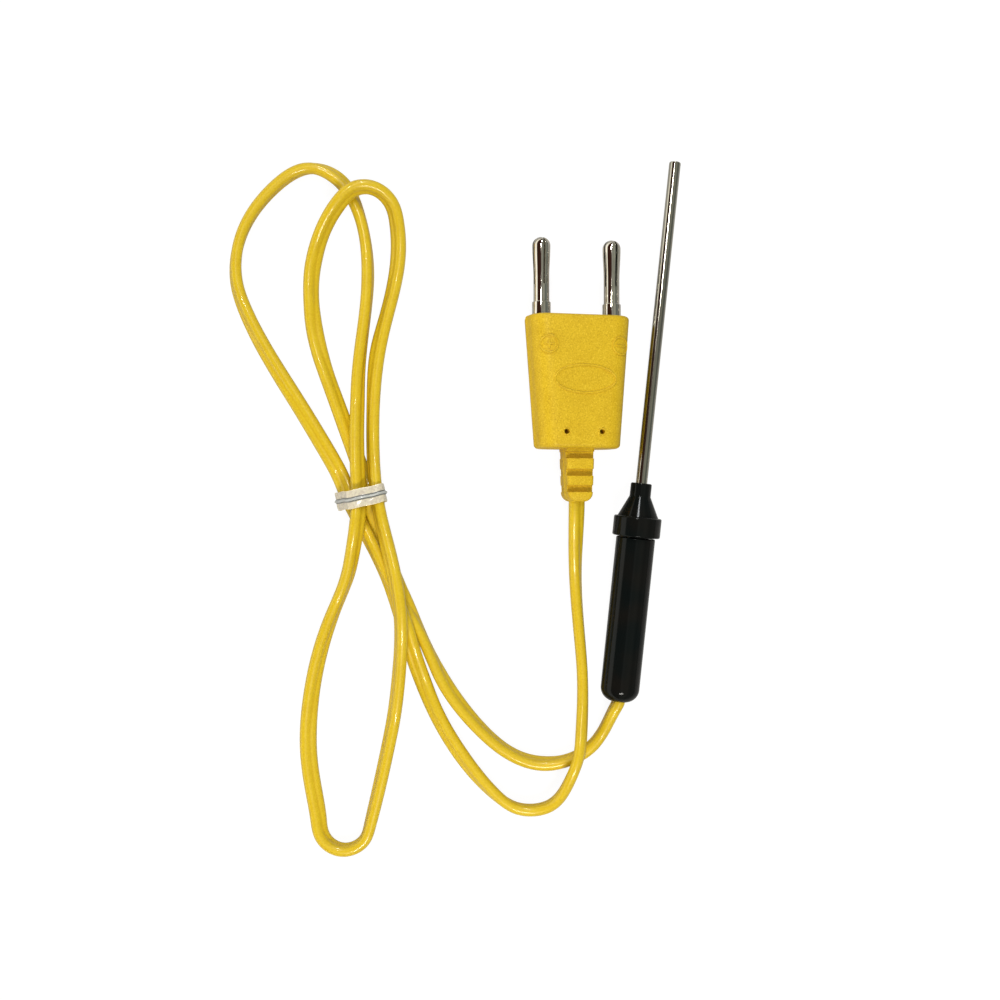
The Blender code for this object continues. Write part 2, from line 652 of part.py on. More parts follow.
def make_plug_body(axis):
    """The moulding with its strain relief, hollow for the carrier, the pins, the leads and the cord."""
    back = -PLUG_LENGTH
    form = block((PLUG_FRONT_WIDTH, PLUG_THICKNESS, PLUG_LENGTH), (0, 0, back / 2))
    taper(form, 0, 0, back, PLUG_FRONT_WIDTH / 2, body_half_width(PLUG_LENGTH))
    draw_in(form, PLUG_DRAFT)
    corners = [edge for edge in edges_along_z(form) if abs(edge.verts[0].co.y) > WELD]
    soften(form, corners, PLUG_LONG_FILLET, 6)
    soften(form, edges_at_z(form, 0) + edges_at_z(form, back), PLUG_END_FILLET, 3)
    body = solid("plug_body", form, axis, "yellow_moulding")

    relief_front = back + RELIEF_ROOT
    relief_back = back - RELIEF_LENGTH
    form = block((RELIEF_WIDTH, RELIEF_THICKNESS, relief_front - relief_back),
                 (0, 0, (relief_front + relief_back) / 2))
    taper(form, 0, relief_front, relief_back, RELIEF_WIDTH / 2, (RELIEF_WIDTH - RELIEF_TAPER) / 2)
    soften(form, edges_along_z(form), RELIEF_FILLET, 3)
    soften(form, edges_at_z(form, relief_back), RELIEF_END_FILLET, 3)
    combine(body, solid("relief", form, axis), "UNION")

    for side in (-1, 1):
        for number, start in enumerate(SLOT_STARTS, 1):
            middle = back - start - SLOT_WIDTH / 2
            slot = block((2 * RELIEF_WIDTH, 2 * SLOT_DEPTH, SLOT_WIDTH),
                         (0, side * RELIEF_THICKNESS / 2, middle))
            face = "upper" if side < 0 else "lower"
            combine(body, solid(face + "_relief_slot_" + str(number), slot, axis))
        hole = rod("left_face_hole" if side < 0 else "right_face_hole", FACE_HOLE_DIAMETER,
                   -FACE_HOLE_DEPTH, FACE_HOLE_DEPTH, axis, sides=16)
        hole.rotation_euler.x = math.pi / 2
        hole.location = (side * FACE_HOLE_OFFSET, -PLUG_THICKNESS / 2, back + FACE_HOLE_BACK)
        combine(body, hole)

    cavity_front = -PLUG_FRONT_WALL
    cavity_back = core_back() - SEAT_GAP
    form = block((CORE_WIDTH + 2 * SEAT_GAP, CORE_THICKNESS + 2 * SEAT_GAP,
                  cavity_front - cavity_back), (0, 0, (cavity_front + cavity_back) / 2))
    soften(form, edges_along_z(form), CORE_CHAMFER, 1)
    combine(body, solid("core_cavity", form, axis))
    for pole, side in SIDES.items():
        x = -side * PIN_PITCH / 2
        shank_end = -PIN_SHANK_LENGTH - SEAT_GAP
        combine(body, rod(pole + "_shank_bore", SHANK_BORE, shank_end, SEAT_GAP, axis, x))
        channel = wire(pole + "_lead_channel", plug_lead_points(axis, side, SEAT_GAP),
                       LEAD_DIAMETER + 2 * LEAD_GAP, axis)
        combine(body, meshed(channel))
    combine(body, held_cord("cord_bore", axis, relief_back - RELIEF_LENGTH,
                            plug_cord_end() + SEAT_GAP / 2, PLUG_LEAN, CORD_GAP))


def core_front():
    return -PLUG_FRONT_WALL - 2 * SEAT_GAP - PIN_SHOULDER_LENGTH


def core_back():
    return core_front() - CORE_LENGTH


def plug_cord_end():
    """Where the cord ends inside the plug, along the plug's axis."""
    return -PLUG_LENGTH + CORD_IN_PLUG


def plug_lead_points(axis, side, longer=0.0):
    """A core's way from the cord's end to the cup of its pin, longer at both ends if asked."""
    heading = axis.matrix_world.to_3x3() @ Vector((0, 0, 1))
    wide = axis.matrix_world.to_3x3().inverted() @ wide_axis(heading, math.radians(PLUG_LEAN))
    x = -side * PIN_PITCH / 2
    start = (side * LEAD_OFFSET * wide.x, side * LEAD_OFFSET * wide.y, plug_cord_end() + SEAT_GAP)
    cup_mouth = -PIN_SHANK_LENGTH
    bend = s_bend(start, (x, 0, cup_mouth - LEAD_DIAMETER), 12)
    before = [(start[0], start[1], start[2] - 2 * longer)] if longer else []
    return before + bend + [(x, 0, cup_mouth + PIN_CUP_DEPTH - SEAT_GAP)]


def make_plug_core(axis):
    """The hard carrier inside the moulding, which holds the two pins at their pitch."""
    form = block((CORE_WIDTH, CORE_THICKNESS, CORE_LENGTH),
                 (0, 0, (core_front() + core_back()) / 2))
    soften(form, edges_along_z(form), CORE_CHAMFER, 1)
    core = solid("plug_core", form, axis, "carrier")
    for pole, side in SIDES.items():
        bore = rod(pole + "_core_bore", SHANK_BORE, core_back() - SEAT_GAP, core_front() + SEAT_GAP,
                   axis, -side * PIN_PITCH / 2)
        combine(core, bore)


def pin_profile():
    """Sprung head, barrel and collar outside, then the shank with its shoulder and cup."""
    barrel = PIN_DIAMETER / 2
    head = PIN_HEAD_DIAMETER / 2
    collar = PIN_COLLAR_DIAMETER / 2
    shank = PIN_SHANK_DIAMETER / 2
    cup = shank - PIN_CUP_WALL
    dome = PIN_LENGTH - PIN_DOME_LENGTH
    points = arc((0, dome), (head, PIN_DOME_LENGTH), 90, 0, 7)
    for i in range(1, 7):
        share = i / 6
        radius = barrel + (head - barrel) * (1 + math.cos(math.pi * share)) / 2
        points.append((radius, dome - PIN_HEAD_LENGTH * share))
    collar_front = SEAT_GAP + PIN_COLLAR_LENGTH
    shoulder = core_front() + SEAT_GAP
    points += [(barrel, collar_front), (collar, collar_front), (collar, SEAT_GAP), (shank, SEAT_GAP),
               (shank, shoulder + PIN_SHOULDER_LENGTH),
               (PIN_SHOULDER_DIAMETER / 2, shoulder + PIN_SHOULDER_LENGTH),
               (PIN_SHOULDER_DIAMETER / 2, shoulder), (shank, shoulder),
               (shank, -PIN_SHANK_LENGTH), (cup, -PIN_SHANK_LENGTH),
               (cup, PIN_CUP_DEPTH - PIN_SHANK_LENGTH), (0, PIN_CUP_DEPTH - PIN_SHANK_LENGTH)]
    return points


def make_pins(axis):
    """The two plug pins, their heads split in four by crossed saw cuts, and the leads to them."""
    for pole, side in SIDES.items():
        x = -side * PIN_PITCH / 2
        pin = turned(pole + "_pin", pin_profile(), axis, "nickel", 32)
        pin.location.x = x
        for turn in (0, math.pi / 2):
            form = block((PIN_SLOT_WIDTH, 2 * PIN_HEAD_DIAMETER, 2 * PIN_SLOT_LENGTH))
            cut = solid(pole + "_pin_cut_" + str(round(math.degrees(turn))), form, axis)
            cut.location = (x, 0, PIN_LENGTH)
            cut.rotation_euler.z = PIN_SLOT_TURNS[pole] + turn
            combine(pin, cut)
        insulation = "yellow_insulation" if side > 0 else "red_insulation"
        wire("plug_" + pole + "_lead", plug_lead_points(axis, side), LEAD_DIAMETER, axis, insulation)


def tie_loop(places, leans):
    """The tie's path round the bundle, in the tie's plane: across the bundle and up.

    It is the bundle's convex outline, stood off by a gap, and its last part laps over its start.
    """
    across = np.array((math.cos(TIE_TURN), math.sin(TIE_TURN)))
    along = np.array((-across[1], across[0]))
    share = np.linspace(0, len(places) - 1, 60 * len(places))
    knots = np.arange(len(places))
    rows = np.column_stack([np.interp(share, knots, column) for column in (*places.T, leans)])
    headings = np.gradient(rows[:, :2], axis=0)
    lefts = np.column_stack([-headings[:, 1], headings[:, 0]])
    lefts /= np.linalg.norm(lefts, axis=1)[:, None]
    middle = rows[:, :2] - TIE_CENTRE
    near = (abs(middle @ along) < 0.6 * TIE_WIDTH) & (abs(middle @ across) < TIE_REACH)
    reach = (CORD_WIDTH - CORD_THICKNESS) / 2
    edges = []
    for side in (-1, 1):
        flat = side * reach * np.cos(rows[:, 3]) * (lefts @ across)
        high = side * reach * np.sin(rows[:, 3])
        edges.append(np.column_stack([middle @ across + flat, rows[:, 2] + high])[near])
    edges = np.concatenate(edges)
    stand_off = CORD_THICKNESS / 2 + TIE_GAP + TIE_WIRE_DIAMETER / 2
    points = []
    whole_turn = math.tau + TIE_LAP
    steps = 54
    for i in range(steps + 1):
        turned_by = whole_turn * i / steps
        facing = np.array((math.cos(TIE_START + turned_by), math.sin(TIE_START + turned_by)))
        outer = edges[np.argmax(edges @ facing)]
        climb = min(max((turned_by - math.tau + TIE_RISE) / TIE_RISE, 0), 1)
        layer = TIE_LAYER * climb * climb * (3 - 2 * climb)
        points.append(tuple(outer + facing * (stand_off + layer)))
    return points


def make_tie(places, leans):
    """The ribbon tie: a flat strip with a wire down its middle that shows as a ridge."""
    turn = Matrix.Rotation(TIE_TURN, 4, "Z") @ Matrix.Rotation(math.pi / 2, 4, "X")
    axis = frame("tie_axis", Matrix.Translation((*TIE_CENTRE, 0)) @ turn)
    loop = [(x, y, 0) for x, y in tie_loop(places, leans)]
    ribbon = wire("twist_tie", loop, TIE_THICKNESS, axis, "ribbon")
    ribbon.data.extrude = (TIE_WIDTH - TIE_THICKNESS) / 2
    ribbon.data.bevel_resolution = 0
    ribbon.data.twist_mode = "Z_UP"
    ribbon = meshed(ribbon)
    ends = []
    for end, inner in ((loop[0], loop[1]), (loop[-1], loop[-2])):
        outwards = (Vector(end) - Vector(inner)).normalized()
        ends.append(tuple(Vector(end) + outwards * TIE_WIRE_END))
    core = wire("tie_wire", [ends[0], *loop, ends[1]], TIE_WIRE_DIAMETER, axis)
    core.data.bevel_resolution = 1
    core.data.twist_mode = "Z_UP"
    core = meshed(core)
    combine(ribbon, core, "UNION")


def held_points(axis, start, end, lean):
    """Route points where the cord is held straight along the axis of the handle or the plug."""
    places = [axis.matrix_world @ Vector((0, 0, start + (end - start) * share / 4))
              for share in range(5)]
    return [(*place, lean) for place in places]


def main():
    clear_scene()
    handle = handle_frame()
    plug = plug_frame()
    bpy.context.view_layer.update()

    in_handle = held_points(handle, CORD_END, 0, HANDLE_LEAN)
    in_plug = held_points(plug, -PLUG_LENGTH - RELIEF_LENGTH, plug_cord_end(), PLUG_LEAN)
    places, leans = smooth_route(in_handle, CORD_ROUTE, in_plug, CORD_TUBE_POINTS)
    flat_cord("cord", places, leans, finish="yellow_jacket")

    make_grip(handle)
    make_nose(handle)
    make_sheath(handle)
    make_element(handle)
    turn_back = handle.matrix_world.to_3x3()
    heading = turn_back @ Vector((0, 0, -1))
    make_splices(handle, turn_back.inverted() @ wide_axis(heading, math.radians(HANDLE_LEAN)))
    make_clamp(handle)

    make_plug_body(plug)
    make_plug_core(plug)
    make_pins(plug)
    make_tie(places, leans)
    shade_pieces()


main()
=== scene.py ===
import math

import bmesh
import bpy
import numpy as np
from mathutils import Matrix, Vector


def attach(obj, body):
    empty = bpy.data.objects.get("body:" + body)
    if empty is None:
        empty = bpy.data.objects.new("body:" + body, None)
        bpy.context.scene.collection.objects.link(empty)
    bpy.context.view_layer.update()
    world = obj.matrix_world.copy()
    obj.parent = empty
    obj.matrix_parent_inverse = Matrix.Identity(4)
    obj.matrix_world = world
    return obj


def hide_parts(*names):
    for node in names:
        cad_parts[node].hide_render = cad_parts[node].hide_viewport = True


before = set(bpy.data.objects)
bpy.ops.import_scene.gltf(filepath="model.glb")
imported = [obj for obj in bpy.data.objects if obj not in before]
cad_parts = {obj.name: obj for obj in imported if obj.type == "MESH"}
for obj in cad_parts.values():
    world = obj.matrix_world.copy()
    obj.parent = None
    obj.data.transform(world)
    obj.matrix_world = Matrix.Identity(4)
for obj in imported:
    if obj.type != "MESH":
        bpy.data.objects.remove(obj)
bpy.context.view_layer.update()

# Camera
# It looks straight down on the probe from arm's length, turned a little, so that the probe leans
# to the right in the picture.
CAMERA_PLACE = (-0.03653, -0.02124, 0.300)
CAMERA_TURN = math.radians(5.79)
CAMERA_LENS = 40.2

camera_data = bpy.data.cameras.new("camera")
camera_data.lens = CAMERA_LENS
camera_data.clip_start = 0.01
camera = bpy.data.objects.new("camera", camera_data)
camera.location = CAMERA_PLACE
camera.rotation_euler = (0, 0, CAMERA_TURN)
bpy.context.scene.collection.objects.link(camera)
bpy.context.scene.camera = camera

# Cord
# Two insulated cores lie side by side in one soft yellow jacket, extruded with a round edge along
# each side and a shallow groove between the cores. Its ends are held straight in the handle's tail
# and in the plug's relief, and between them it lies in the loops of a bundle.
CORD_WIDTH = 0.0046
CORD_THICKNESS = 0.0029
CORD_GROOVE = 0.00012
CORD_STATIONS = 1300
FLOOR_GAP = 0.00005
HANDLE_TAIL = np.array((0, -0.0708718, 0.0050006))
HANDLE_TILT = math.radians(1.6166)
HANDLE_LEAN = 78
CORD_IN_HANDLE = 0.0140
PLUG_TURN = math.radians(5.8)
PLUG_ROLL = math.radians(12)
PLUG_FRONT = np.array((-0.0214, 0.0278, 0.008799))
PLUG_LEAN = 37
PLUG_LENGTH = 0.0342
RELIEF_LENGTH = 0.0135
CORD_IN_PLUG = 0.0062

# The route where the cord is free, from the handle to the plug: x, y, z of its middle, and its lean
# in degrees, 0 where it lies flat and 90 where it stands on its narrow edge
CORD_ROUTE = [
    (-0.0008, -0.0732, 0.0047, 82), (-0.0037, -0.0812, 0.0024, 88), (-0.0060, -0.0845, 0.0023, 86),
    (-0.0131, -0.0890, 0.0023, 82), (-0.0172, -0.0899, 0.0023, 68), (-0.0235, -0.0894, 0.0023, 71),
    (-0.0363, -0.0819, 0.0023, 64), (-0.0477, -0.0692, 0.0023, 62), (-0.0501, -0.0654, 0.0023, 80),
    (-0.0565, -0.0548, 0.0023, 66), (-0.0595, -0.0502, 0.0019, 26), (-0.0645, -0.0411, 0.0015, 0),
    (-0.0698, -0.0281, 0.0027, 0), (-0.0714, -0.0240, 0.0031, 0), (-0.0753, -0.0147, 0.0020, 35),
    (-0.0779, -0.0093, 0.0021, 43), (-0.0829, 0.0011, 0.0021, 49), (-0.0857, 0.0069, 0.0021, 50),
    (-0.0903, 0.0188, 0.0019, 25), (-0.0917, 0.0250, 0.0021, 46), (-0.0923, 0.0378, 0.0021, 42),
    (-0.0909, 0.0437, 0.0037, 50), (-0.0862, 0.0525, 0.0069, 52), (-0.0832, 0.0559, 0.0069, 62),
    (-0.0794, 0.0572, 0.0062, 72), (-0.0755, 0.0562, 0.0049, 64), (-0.0727, 0.0533, 0.0034, 52),
    (-0.0714, 0.0496, 0.0024, 46), (-0.0702, 0.0419, 0.0021, 40), (-0.0720, 0.0223, 0.0021, 48),
    (-0.0729, 0.0160, 0.0020, 36), (-0.0729, 0.0032, 0.0022, 56), (-0.0712, -0.0128, 0.0038, 62),
    (-0.0689, -0.0232, 0.0071, 62), (-0.0677, -0.0276, 0.0068, 62), (-0.0640, -0.0377, 0.0088, 52),
    (-0.0595, -0.0523, 0.0105, 64), (-0.0584, -0.0698, 0.0059, 60), (-0.0590, -0.0836, 0.0022, 58),
    (-0.0596, -0.0898, 0.0022, 60), (-0.0612, -0.1034, 0.0023, 64), (-0.0623, -0.1113, 0.0023, 74),
    (-0.0632, -0.1148, 0.0023, 80), (-0.0657, -0.1173, 0.0023, 82), (-0.0690, -0.1182, 0.0023, 80),
    (-0.0723, -0.1173, 0.0023, 70), (-0.0748, -0.1148, 0.0023, 56), (-0.0761, -0.1108, 0.0021, 42),
    (-0.0781, -0.1036, 0.0019, 32), (-0.0804, -0.0943, 0.0019, 30), (-0.0812, -0.0878, 0.0019, 28),
    (-0.0814, -0.0813, 0.0020, 38), (-0.0787, -0.0592, 0.0023, 64), (-0.0767, -0.0521, 0.0024, 76),
    (-0.0747, -0.0455, 0.0044, 70), (-0.0736, -0.0387, 0.0071, 62), (-0.0730, -0.0278, 0.0086, 52),
    (-0.0734, -0.0239, 0.0073, 50), (-0.0741, -0.0198, 0.0068, 54), (-0.0762, -0.0061, 0.0041, 60),
    (-0.0770, 0.0015, 0.0023, 64), (-0.0775, 0.0100, 0.0023, 74), (-0.0773, 0.0282, 0.0023, 84),
    (-0.0776, 0.0346, 0.0023, 80), (-0.0821, 0.0518, 0.0023, 80), (-0.0878, 0.0593, 0.0021, 48),
    (-0.0958, 0.0616, 0.0023, 78), (-0.1045, 0.0559, 0.0023, 88), (-0.1128, 0.0392, 0.0023, 76),
    (-0.1120, 0.0285, 0.0022, 62), (-0.1094, 0.0226, 0.0022, 52), (-0.0922, -0.0018, 0.0017, 16),
    (-0.0845, -0.0121, 0.0016, 6), (-0.0799, -0.0187, 0.0017, 0), (-0.0765, -0.0245, 0.0036, 8),
    (-0.0725, -0.0313, 0.0039, 50), (-0.0694, -0.0359, 0.0048, 62), (-0.0641, -0.0445, 0.0055, 62),
    (-0.0576, -0.0581, 0.0056, 22), (-0.0548, -0.0652, 0.0042, 16), (-0.0522, -0.0712, 0.0022, 20),
    (-0.0485, -0.0782, 0.0020, 34), (-0.0401, -0.0898, 0.0020, 38), (-0.0299, -0.0994, 0.0023, 70),
    (-0.0238, -0.1025, 0.0023, 86), (-0.0156, -0.1010, 0.0032, 88), (-0.0110, -0.0931, 0.0068, 84),
    (-0.0091, -0.0849, 0.0076, 78), (-0.0090, -0.0807, 0.0063, 76), (-0.0097, -0.0676, 0.0024, 84),
    (-0.0121, -0.0536, 0.0023, 82), (-0.0146, -0.0388, 0.0031, 70),
]


class Link:
    """One output of a node. Arithmetic on it adds Math nodes to the same tree."""

    def __init__(self, nodes, socket):
        self.nodes = nodes
        self.socket = socket

    def maths(self, operation, *values):
        return self.nodes.add("Math", {"operation": operation}, values)

    def __add__(self, other):
        return self.maths("ADD", self, other)

    def __sub__(self, other):
        return self.maths("SUBTRACT", self, other)

    def __rsub__(self, other):
        return self.maths("SUBTRACT", other, self)

    def __mul__(self, other):
        return self.maths("MULTIPLY", self, other)

    def __truediv__(self, other):
        return self.maths("DIVIDE", self, other)

    def __abs__(self):
        return self.maths("ABSOLUTE", self)

    __radd__ = __add__
    __rmul__ = __mul__


class Nodes:
    """A node tree in which one method adds any node: its settings first, then its inputs."""

    def __init__(self, tree):
        self.tree = tree

    def add(self, kind, settings=None, inputs=(), output=0):
        node = self.tree.nodes.new("ShaderNode" + kind)
        for name, value in (settings or {}).items():
            if name == "stops":
                for number, (place, colour) in enumerate(value):
                    elements = node.color_ramp.elements
                    stop = elements[number] if number < 2 else elements.new(place)
                    stop.position = place
                    stop.color = (*colour, 1)
            else:
                setattr(node, name, value)
        named = inputs.items() if isinstance(inputs, dict) else enumerate(inputs)
        for name, value in named:
            self.feed(node, name, value)
        return Link(self, node.outputs[output])

    def feed(self, node, name, value):
        if isinstance(value, Link):
            self.tree.links.new(value.socket, node.inputs[name])
        else:
            node.inputs[name].default_value = value

    def mix(self, share, first, second):
        """Colour that goes from the first to the second as share goes from 0 to 1."""
        colours = [(*colour, 1) if isinstance(colour, tuple) else colour for colour in (first, second)]
        return self.add("Mix", {"data_type": "RGBA"}, {0: share, 6: colours[0], 7: colours[1]}, 2)

    def between(self, value, low, high):
        """0 where the value is below low and 1 above high, eased between them."""
        settings = {"interpolation_type": "SMOOTHSTEP"}
        return self.add("MapRange", settings, {0: value, 1: low, 2: high, 3: 0.0, 4: 1.0})

    def object_noise(self, size, detail=2.0, stretch=(1, 1, 1)):
        """Noise in the piece's own space, its grain this many metres across before it is stretched."""
        scale = tuple(1 / factor for factor in stretch)
        place = self.add("TexCoord", output="Object")
        place = self.add("VectorMath", {"operation": "MULTIPLY"}, (place, scale))
        return self.add("TexNoise", None, {"Vector": place, "Scale": 1 / size, "Detail": detail})


class Finish(Nodes):
    """A material: a Principled shader whose plain values are set on its own sockets."""

    def __init__(self, name, **values):
        self.material = bpy.data.materials.new(name)
        self.material.use_nodes = True
        super().__init__(self.material.node_tree)
        self.shader = self.tree.nodes["Principled BSDF"]
        self.set(**values)

    def set(self, **values):
        """Sets or links the shader's sockets, their names written in lower case with underscores."""
        for name, value in values.items():
            socket = name.replace("_", " ").title().replace("Ior", "IOR")
            value = (*value, 1) if isinstance(value, tuple) else value
            self.feed(self.shader, socket, value)

    def bump(self, height, distance, strength=1.0):
        """Lets this height, at this many metres for 1, shape the surface's shading."""
        inputs = {"Height": height, "Distance": distance, "Strength": strength}
        self.feed(self.shader, "Normal", self.add("Bump", None, inputs))


def skin(name, shells, finish, slot, sharp=35, **marks):
    """A piece made of closed skins, each over a grid of points with one closed ring to a row.

    Quads join each ring to the next. A fan to its middle closes the first and the last ring, unless
    the rings themselves come back to the first, as on a bored piece. Marks are values at the points.
    """
    points, faces, start = [], [], 0
    for rings, closed in shells:
        count, around = rings.shape[:2]
        row = np.arange(count if closed else count - 1)[:, None] * around
        next_row = (row + around) % (count * around)
        here = np.arange(around)
        beside = (here + 1) % around
        quads = [row + here, row + beside, next_row + beside, next_row + here]
        faces += (np.stack(quads, axis=-1).reshape(-1, 4) + start).tolist()
        points.append(rings.reshape(-1, 3))
        if not closed:
            points.append(rings[[0, -1]].mean(axis=1))
            last = (count - 1) * around
            for pole, ring in ((count * around, 0), (count * around + 1, last)):
                fan = [np.full(around, pole), ring + here, ring + beside]
                faces += (np.stack(fan, axis=-1) + start).tolist()
        start += count * around + (0 if closed else 2)
    mesh = bpy.data.meshes.new(name)
    mesh.from_pydata(np.concatenate(points).tolist(), [], faces)
    for mark, values in marks.items():
        poles = values[[0, -1]].mean(axis=1)
        attribute = mesh.attributes.new(mark, "FLOAT", "POINT")
        attribute.data.foreach_set("value", np.append(values.ravel(), poles).astype(np.float32))
    form = bmesh.new()
    form.from_mesh(mesh)
    bmesh.ops.recalc_face_normals(form, faces=form.faces)
    form.to_mesh(mesh)
    form.free()
    mesh.shade_smooth()
    mesh.set_sharp_from_angle(angle=math.radians(sharp))
    mesh.materials.append(finish.material)
    piece = bpy.data.objects.new(name, mesh)
    bpy.context.scene.collection.objects.link(piece)
    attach(piece, "root")
    return piece


def unit(vectors):
    return vectors / np.linalg.norm(vectors, axis=-1, keepdims=True)


def natural_spline(knots, values, where):
    """Reads a natural cubic spline: a cubic on each gap whose bends, found from one linear system,
    agree at the knots and vanish at both ends."""
    gaps = np.diff(knots)
    slopes = np.diff(values, axis=0) / gaps[:, None]
    system = np.eye(len(knots))
    inner = np.arange(1, len(knots) - 1)
    system[inner, inner - 1] = gaps[:-1]
    system[inner, inner] = 2 * (gaps[:-1] + gaps[1:])
    system[inner, inner + 1] = gaps[1:]
    right = np.zeros_like(values)
    right[inner] = 6 * np.diff(slopes, axis=0)
    bends = np.linalg.solve(system, right)
    i = np.clip(np.searchsorted(knots, where) - 1, 0, len(knots) - 2)
    gap = gaps[i][:, None]
    before = (where - knots[i])[:, None]
    after = gap - before
    bent = (bends[i] * after**3 + bends[i + 1] * before**3) / (6 * gap)
    left = (values[i] / gap - bends[i] * gap / 6) * after
    return bent + left + (values[i + 1] / gap - bends[i + 1] * gap / 6) * before


def cord_line():
    """The middle line, evenly spaced along it, and its lean in radians, held straight at both ends."""
    share = np.linspace(0, 1, 5)[:, None]
    ahead = np.array((0, math.cos(HANDLE_TILT), math.sin(HANDLE_TILT)))
    in_handle = HANDLE_TAIL + ahead * CORD_IN_HANDLE * (1 - share)
    pins_way = np.array((-math.sin(PLUG_TURN), math.cos(PLUG_TURN), 0))
    reach = PLUG_LENGTH + RELIEF_LENGTH - (RELIEF_LENGTH + CORD_IN_PLUG) * share
    in_plug = PLUG_FRONT - pins_way * reach
    rows = np.concatenate([np.column_stack([in_handle, np.full(5, HANDLE_LEAN)]), CORD_ROUTE,
                           np.column_stack([in_plug, np.full(5, PLUG_LEAN)])])
    knots = np.append(0, np.cumsum(np.linalg.norm(np.diff(rows[:, :3], axis=0), axis=1)))
    read = natural_spline(knots, rows, np.linspace(0, knots[-1], CORD_STATIONS))
    lean = np.radians(read[:, 3])
    half_height = CORD_THICKNESS / 2 + (CORD_WIDTH - CORD_THICKNESS) / 2 * np.sin(lean)
    read[:, 2] = np.maximum(read[:, 2], half_height + FLOOR_GAP)
    return read[:, :3], lean


def cord_section(round_steps=13, flat_steps=9):
    """The jacket's outline, across its width and through its thickness: two half circles joined by
    flats, each flat sunk by a squared cosine into a groove between the cores."""
    radius = CORD_THICKNESS / 2
    reach = CORD_WIDTH / 2 - radius
    turn = np.linspace(-np.pi / 2, np.pi / 2, round_steps)
    across = np.linspace(reach, -reach, flat_steps)[1:-1]
    sunk = radius - CORD_GROOVE * np.cos(np.pi * across / (2 * reach))**2
    right = np.column_stack([reach + radius * np.cos(turn), radius * np.sin(turn)])
    top = np.column_stack([across, sunk])
    return np.concatenate([right, top, -right, -top])


cord_middle, cord_lean = cord_line()
cord_heading = unit(np.gradient(cord_middle, axis=0))
cord_left = unit(np.column_stack([-cord_heading[:, 1], cord_heading[:, 0], np.zeros(CORD_STATIONS)]))
cord_wide = (np.cos(cord_lean)[:, None] * cord_left
             + np.sin(cord_lean)[:, None] * np.cross(cord_heading, cord_left))
cord_thin = np.cross(cord_heading, cord_wide)
cord_outline = cord_section()
cord_rings = (cord_middle[:, None] + cord_wide[:, None] * cord_outline[None, :, :1]
              + cord_thin[:, None] * cord_outline[None, :, 1:])
cord_across = np.broadcast_to(cord_outline[:, 0] / (CORD_WIDTH / 2), cord_rings.shape[:2])

jacket = Finish("yellow_jacket", roughness=0.38, specular_ior_level=0.30, coat_weight=0.30,
                coat_roughness=0.07)
JACKET_YELLOW = (0.71, 0.505, 0.016)
JACKET_DEEP = (0.56, 0.33, 0.006)
across = jacket.add("Attribute", {"attribute_name": "across"}, output="Fac")
# The groove between the two cores is mixed towards JACKET_DEEP: painted shade in the groove.
groove_painted_shade = 1 - jacket.between(abs(across), 0.02, 0.16)
cloud = jacket.between(jacket.object_noise(0.004, 3.0), 0.35, 0.75)
fleck = jacket.between(jacket.object_noise(0.0005, 2.0), 0.40, 0.65)
colour = jacket.mix(cloud * 0.15 + fleck * 0.28, JACKET_YELLOW, JACKET_DEEP)
jacket.set(base_color=jacket.mix(groove_painted_shade * 0.35, colour, JACKET_DEEP))
jacket.bump(jacket.object_noise(0.0009, 2.0), 0.00003, 0.6)
cord = skin("cord_jacket", [(cord_rings, False)], jacket, "yellow_jacket", across=cord_across)
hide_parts("cord")

# Tie
# A strip of cream plastic about 5 mm wide, moulded over one soft iron wire that shows as a ridge
# along its middle. It is pressed round the crossing strands by hand, and its end laps low at the left.
TIE_CENTRE = np.array((-0.0725, -0.02415))
TIE_TURN = math.radians(16.6)
TIE_REACH = 0.010
TIE_WIDTH = 0.0048
TIE_THICKNESS = 0.00032
TIE_STAND_OFF = CORD_THICKNESS / 2 + 0.00040
TIE_LAYER = 0.00040
TIE_START = math.radians(-176)
TIE_LAP = math.radians(40)
TIE_RISE = math.radians(70)
TIE_RIDGE = 0.00040
TIE_RIDGE_WIDTH = 0.00036

tie_right = np.array((math.cos(TIE_TURN), math.sin(TIE_TURN)))
tie_along = np.array((-tie_right[1], tie_right[0]))


def tie_path(count):
    """The strip's way round the bundle, across and up: for each direction, the outermost edge of the
    cords that cross the tie's plane, stood off by a gap. The last part climbs over the first."""
    middle = cord_middle[:, :2] - TIE_CENTRE
    near = (abs(middle @ tie_along) < 0.6 * TIE_WIDTH) & (abs(middle @ tie_right) < TIE_REACH)
    reach = (CORD_WIDTH - CORD_THICKNESS) / 2
    core = np.concatenate([cord_middle + side * reach * cord_wide for side in (-1, 1)])
    core = core[np.tile(near, 2)]
    edges = np.column_stack([(core[:, :2] - TIE_CENTRE) @ tie_right, core[:, 2]])
    turned_by = np.linspace(0, math.tau + TIE_LAP, 4 * count)
    facing = np.column_stack([np.cos(TIE_START + turned_by), np.sin(TIE_START + turned_by)])
    outer = edges[np.argmax(edges @ facing.T, axis=0)]
    climb = np.clip((turned_by - math.tau + TIE_RISE) / TIE_RISE, 0, 1)
    layer = TIE_LAYER * climb**2 * (3 - 2 * climb)
    path = outer + facing * (TIE_STAND_OFF + layer)[:, None]
    steps = np.append(0, np.cumsum(np.linalg.norm(np.diff(path, axis=0), axis=1)))
    even = np.linspace(0, steps[-1], count)
    return np.column_stack([np.interp(even, steps, path[:, 0]), np.interp(even, steps, path[:, 1])])


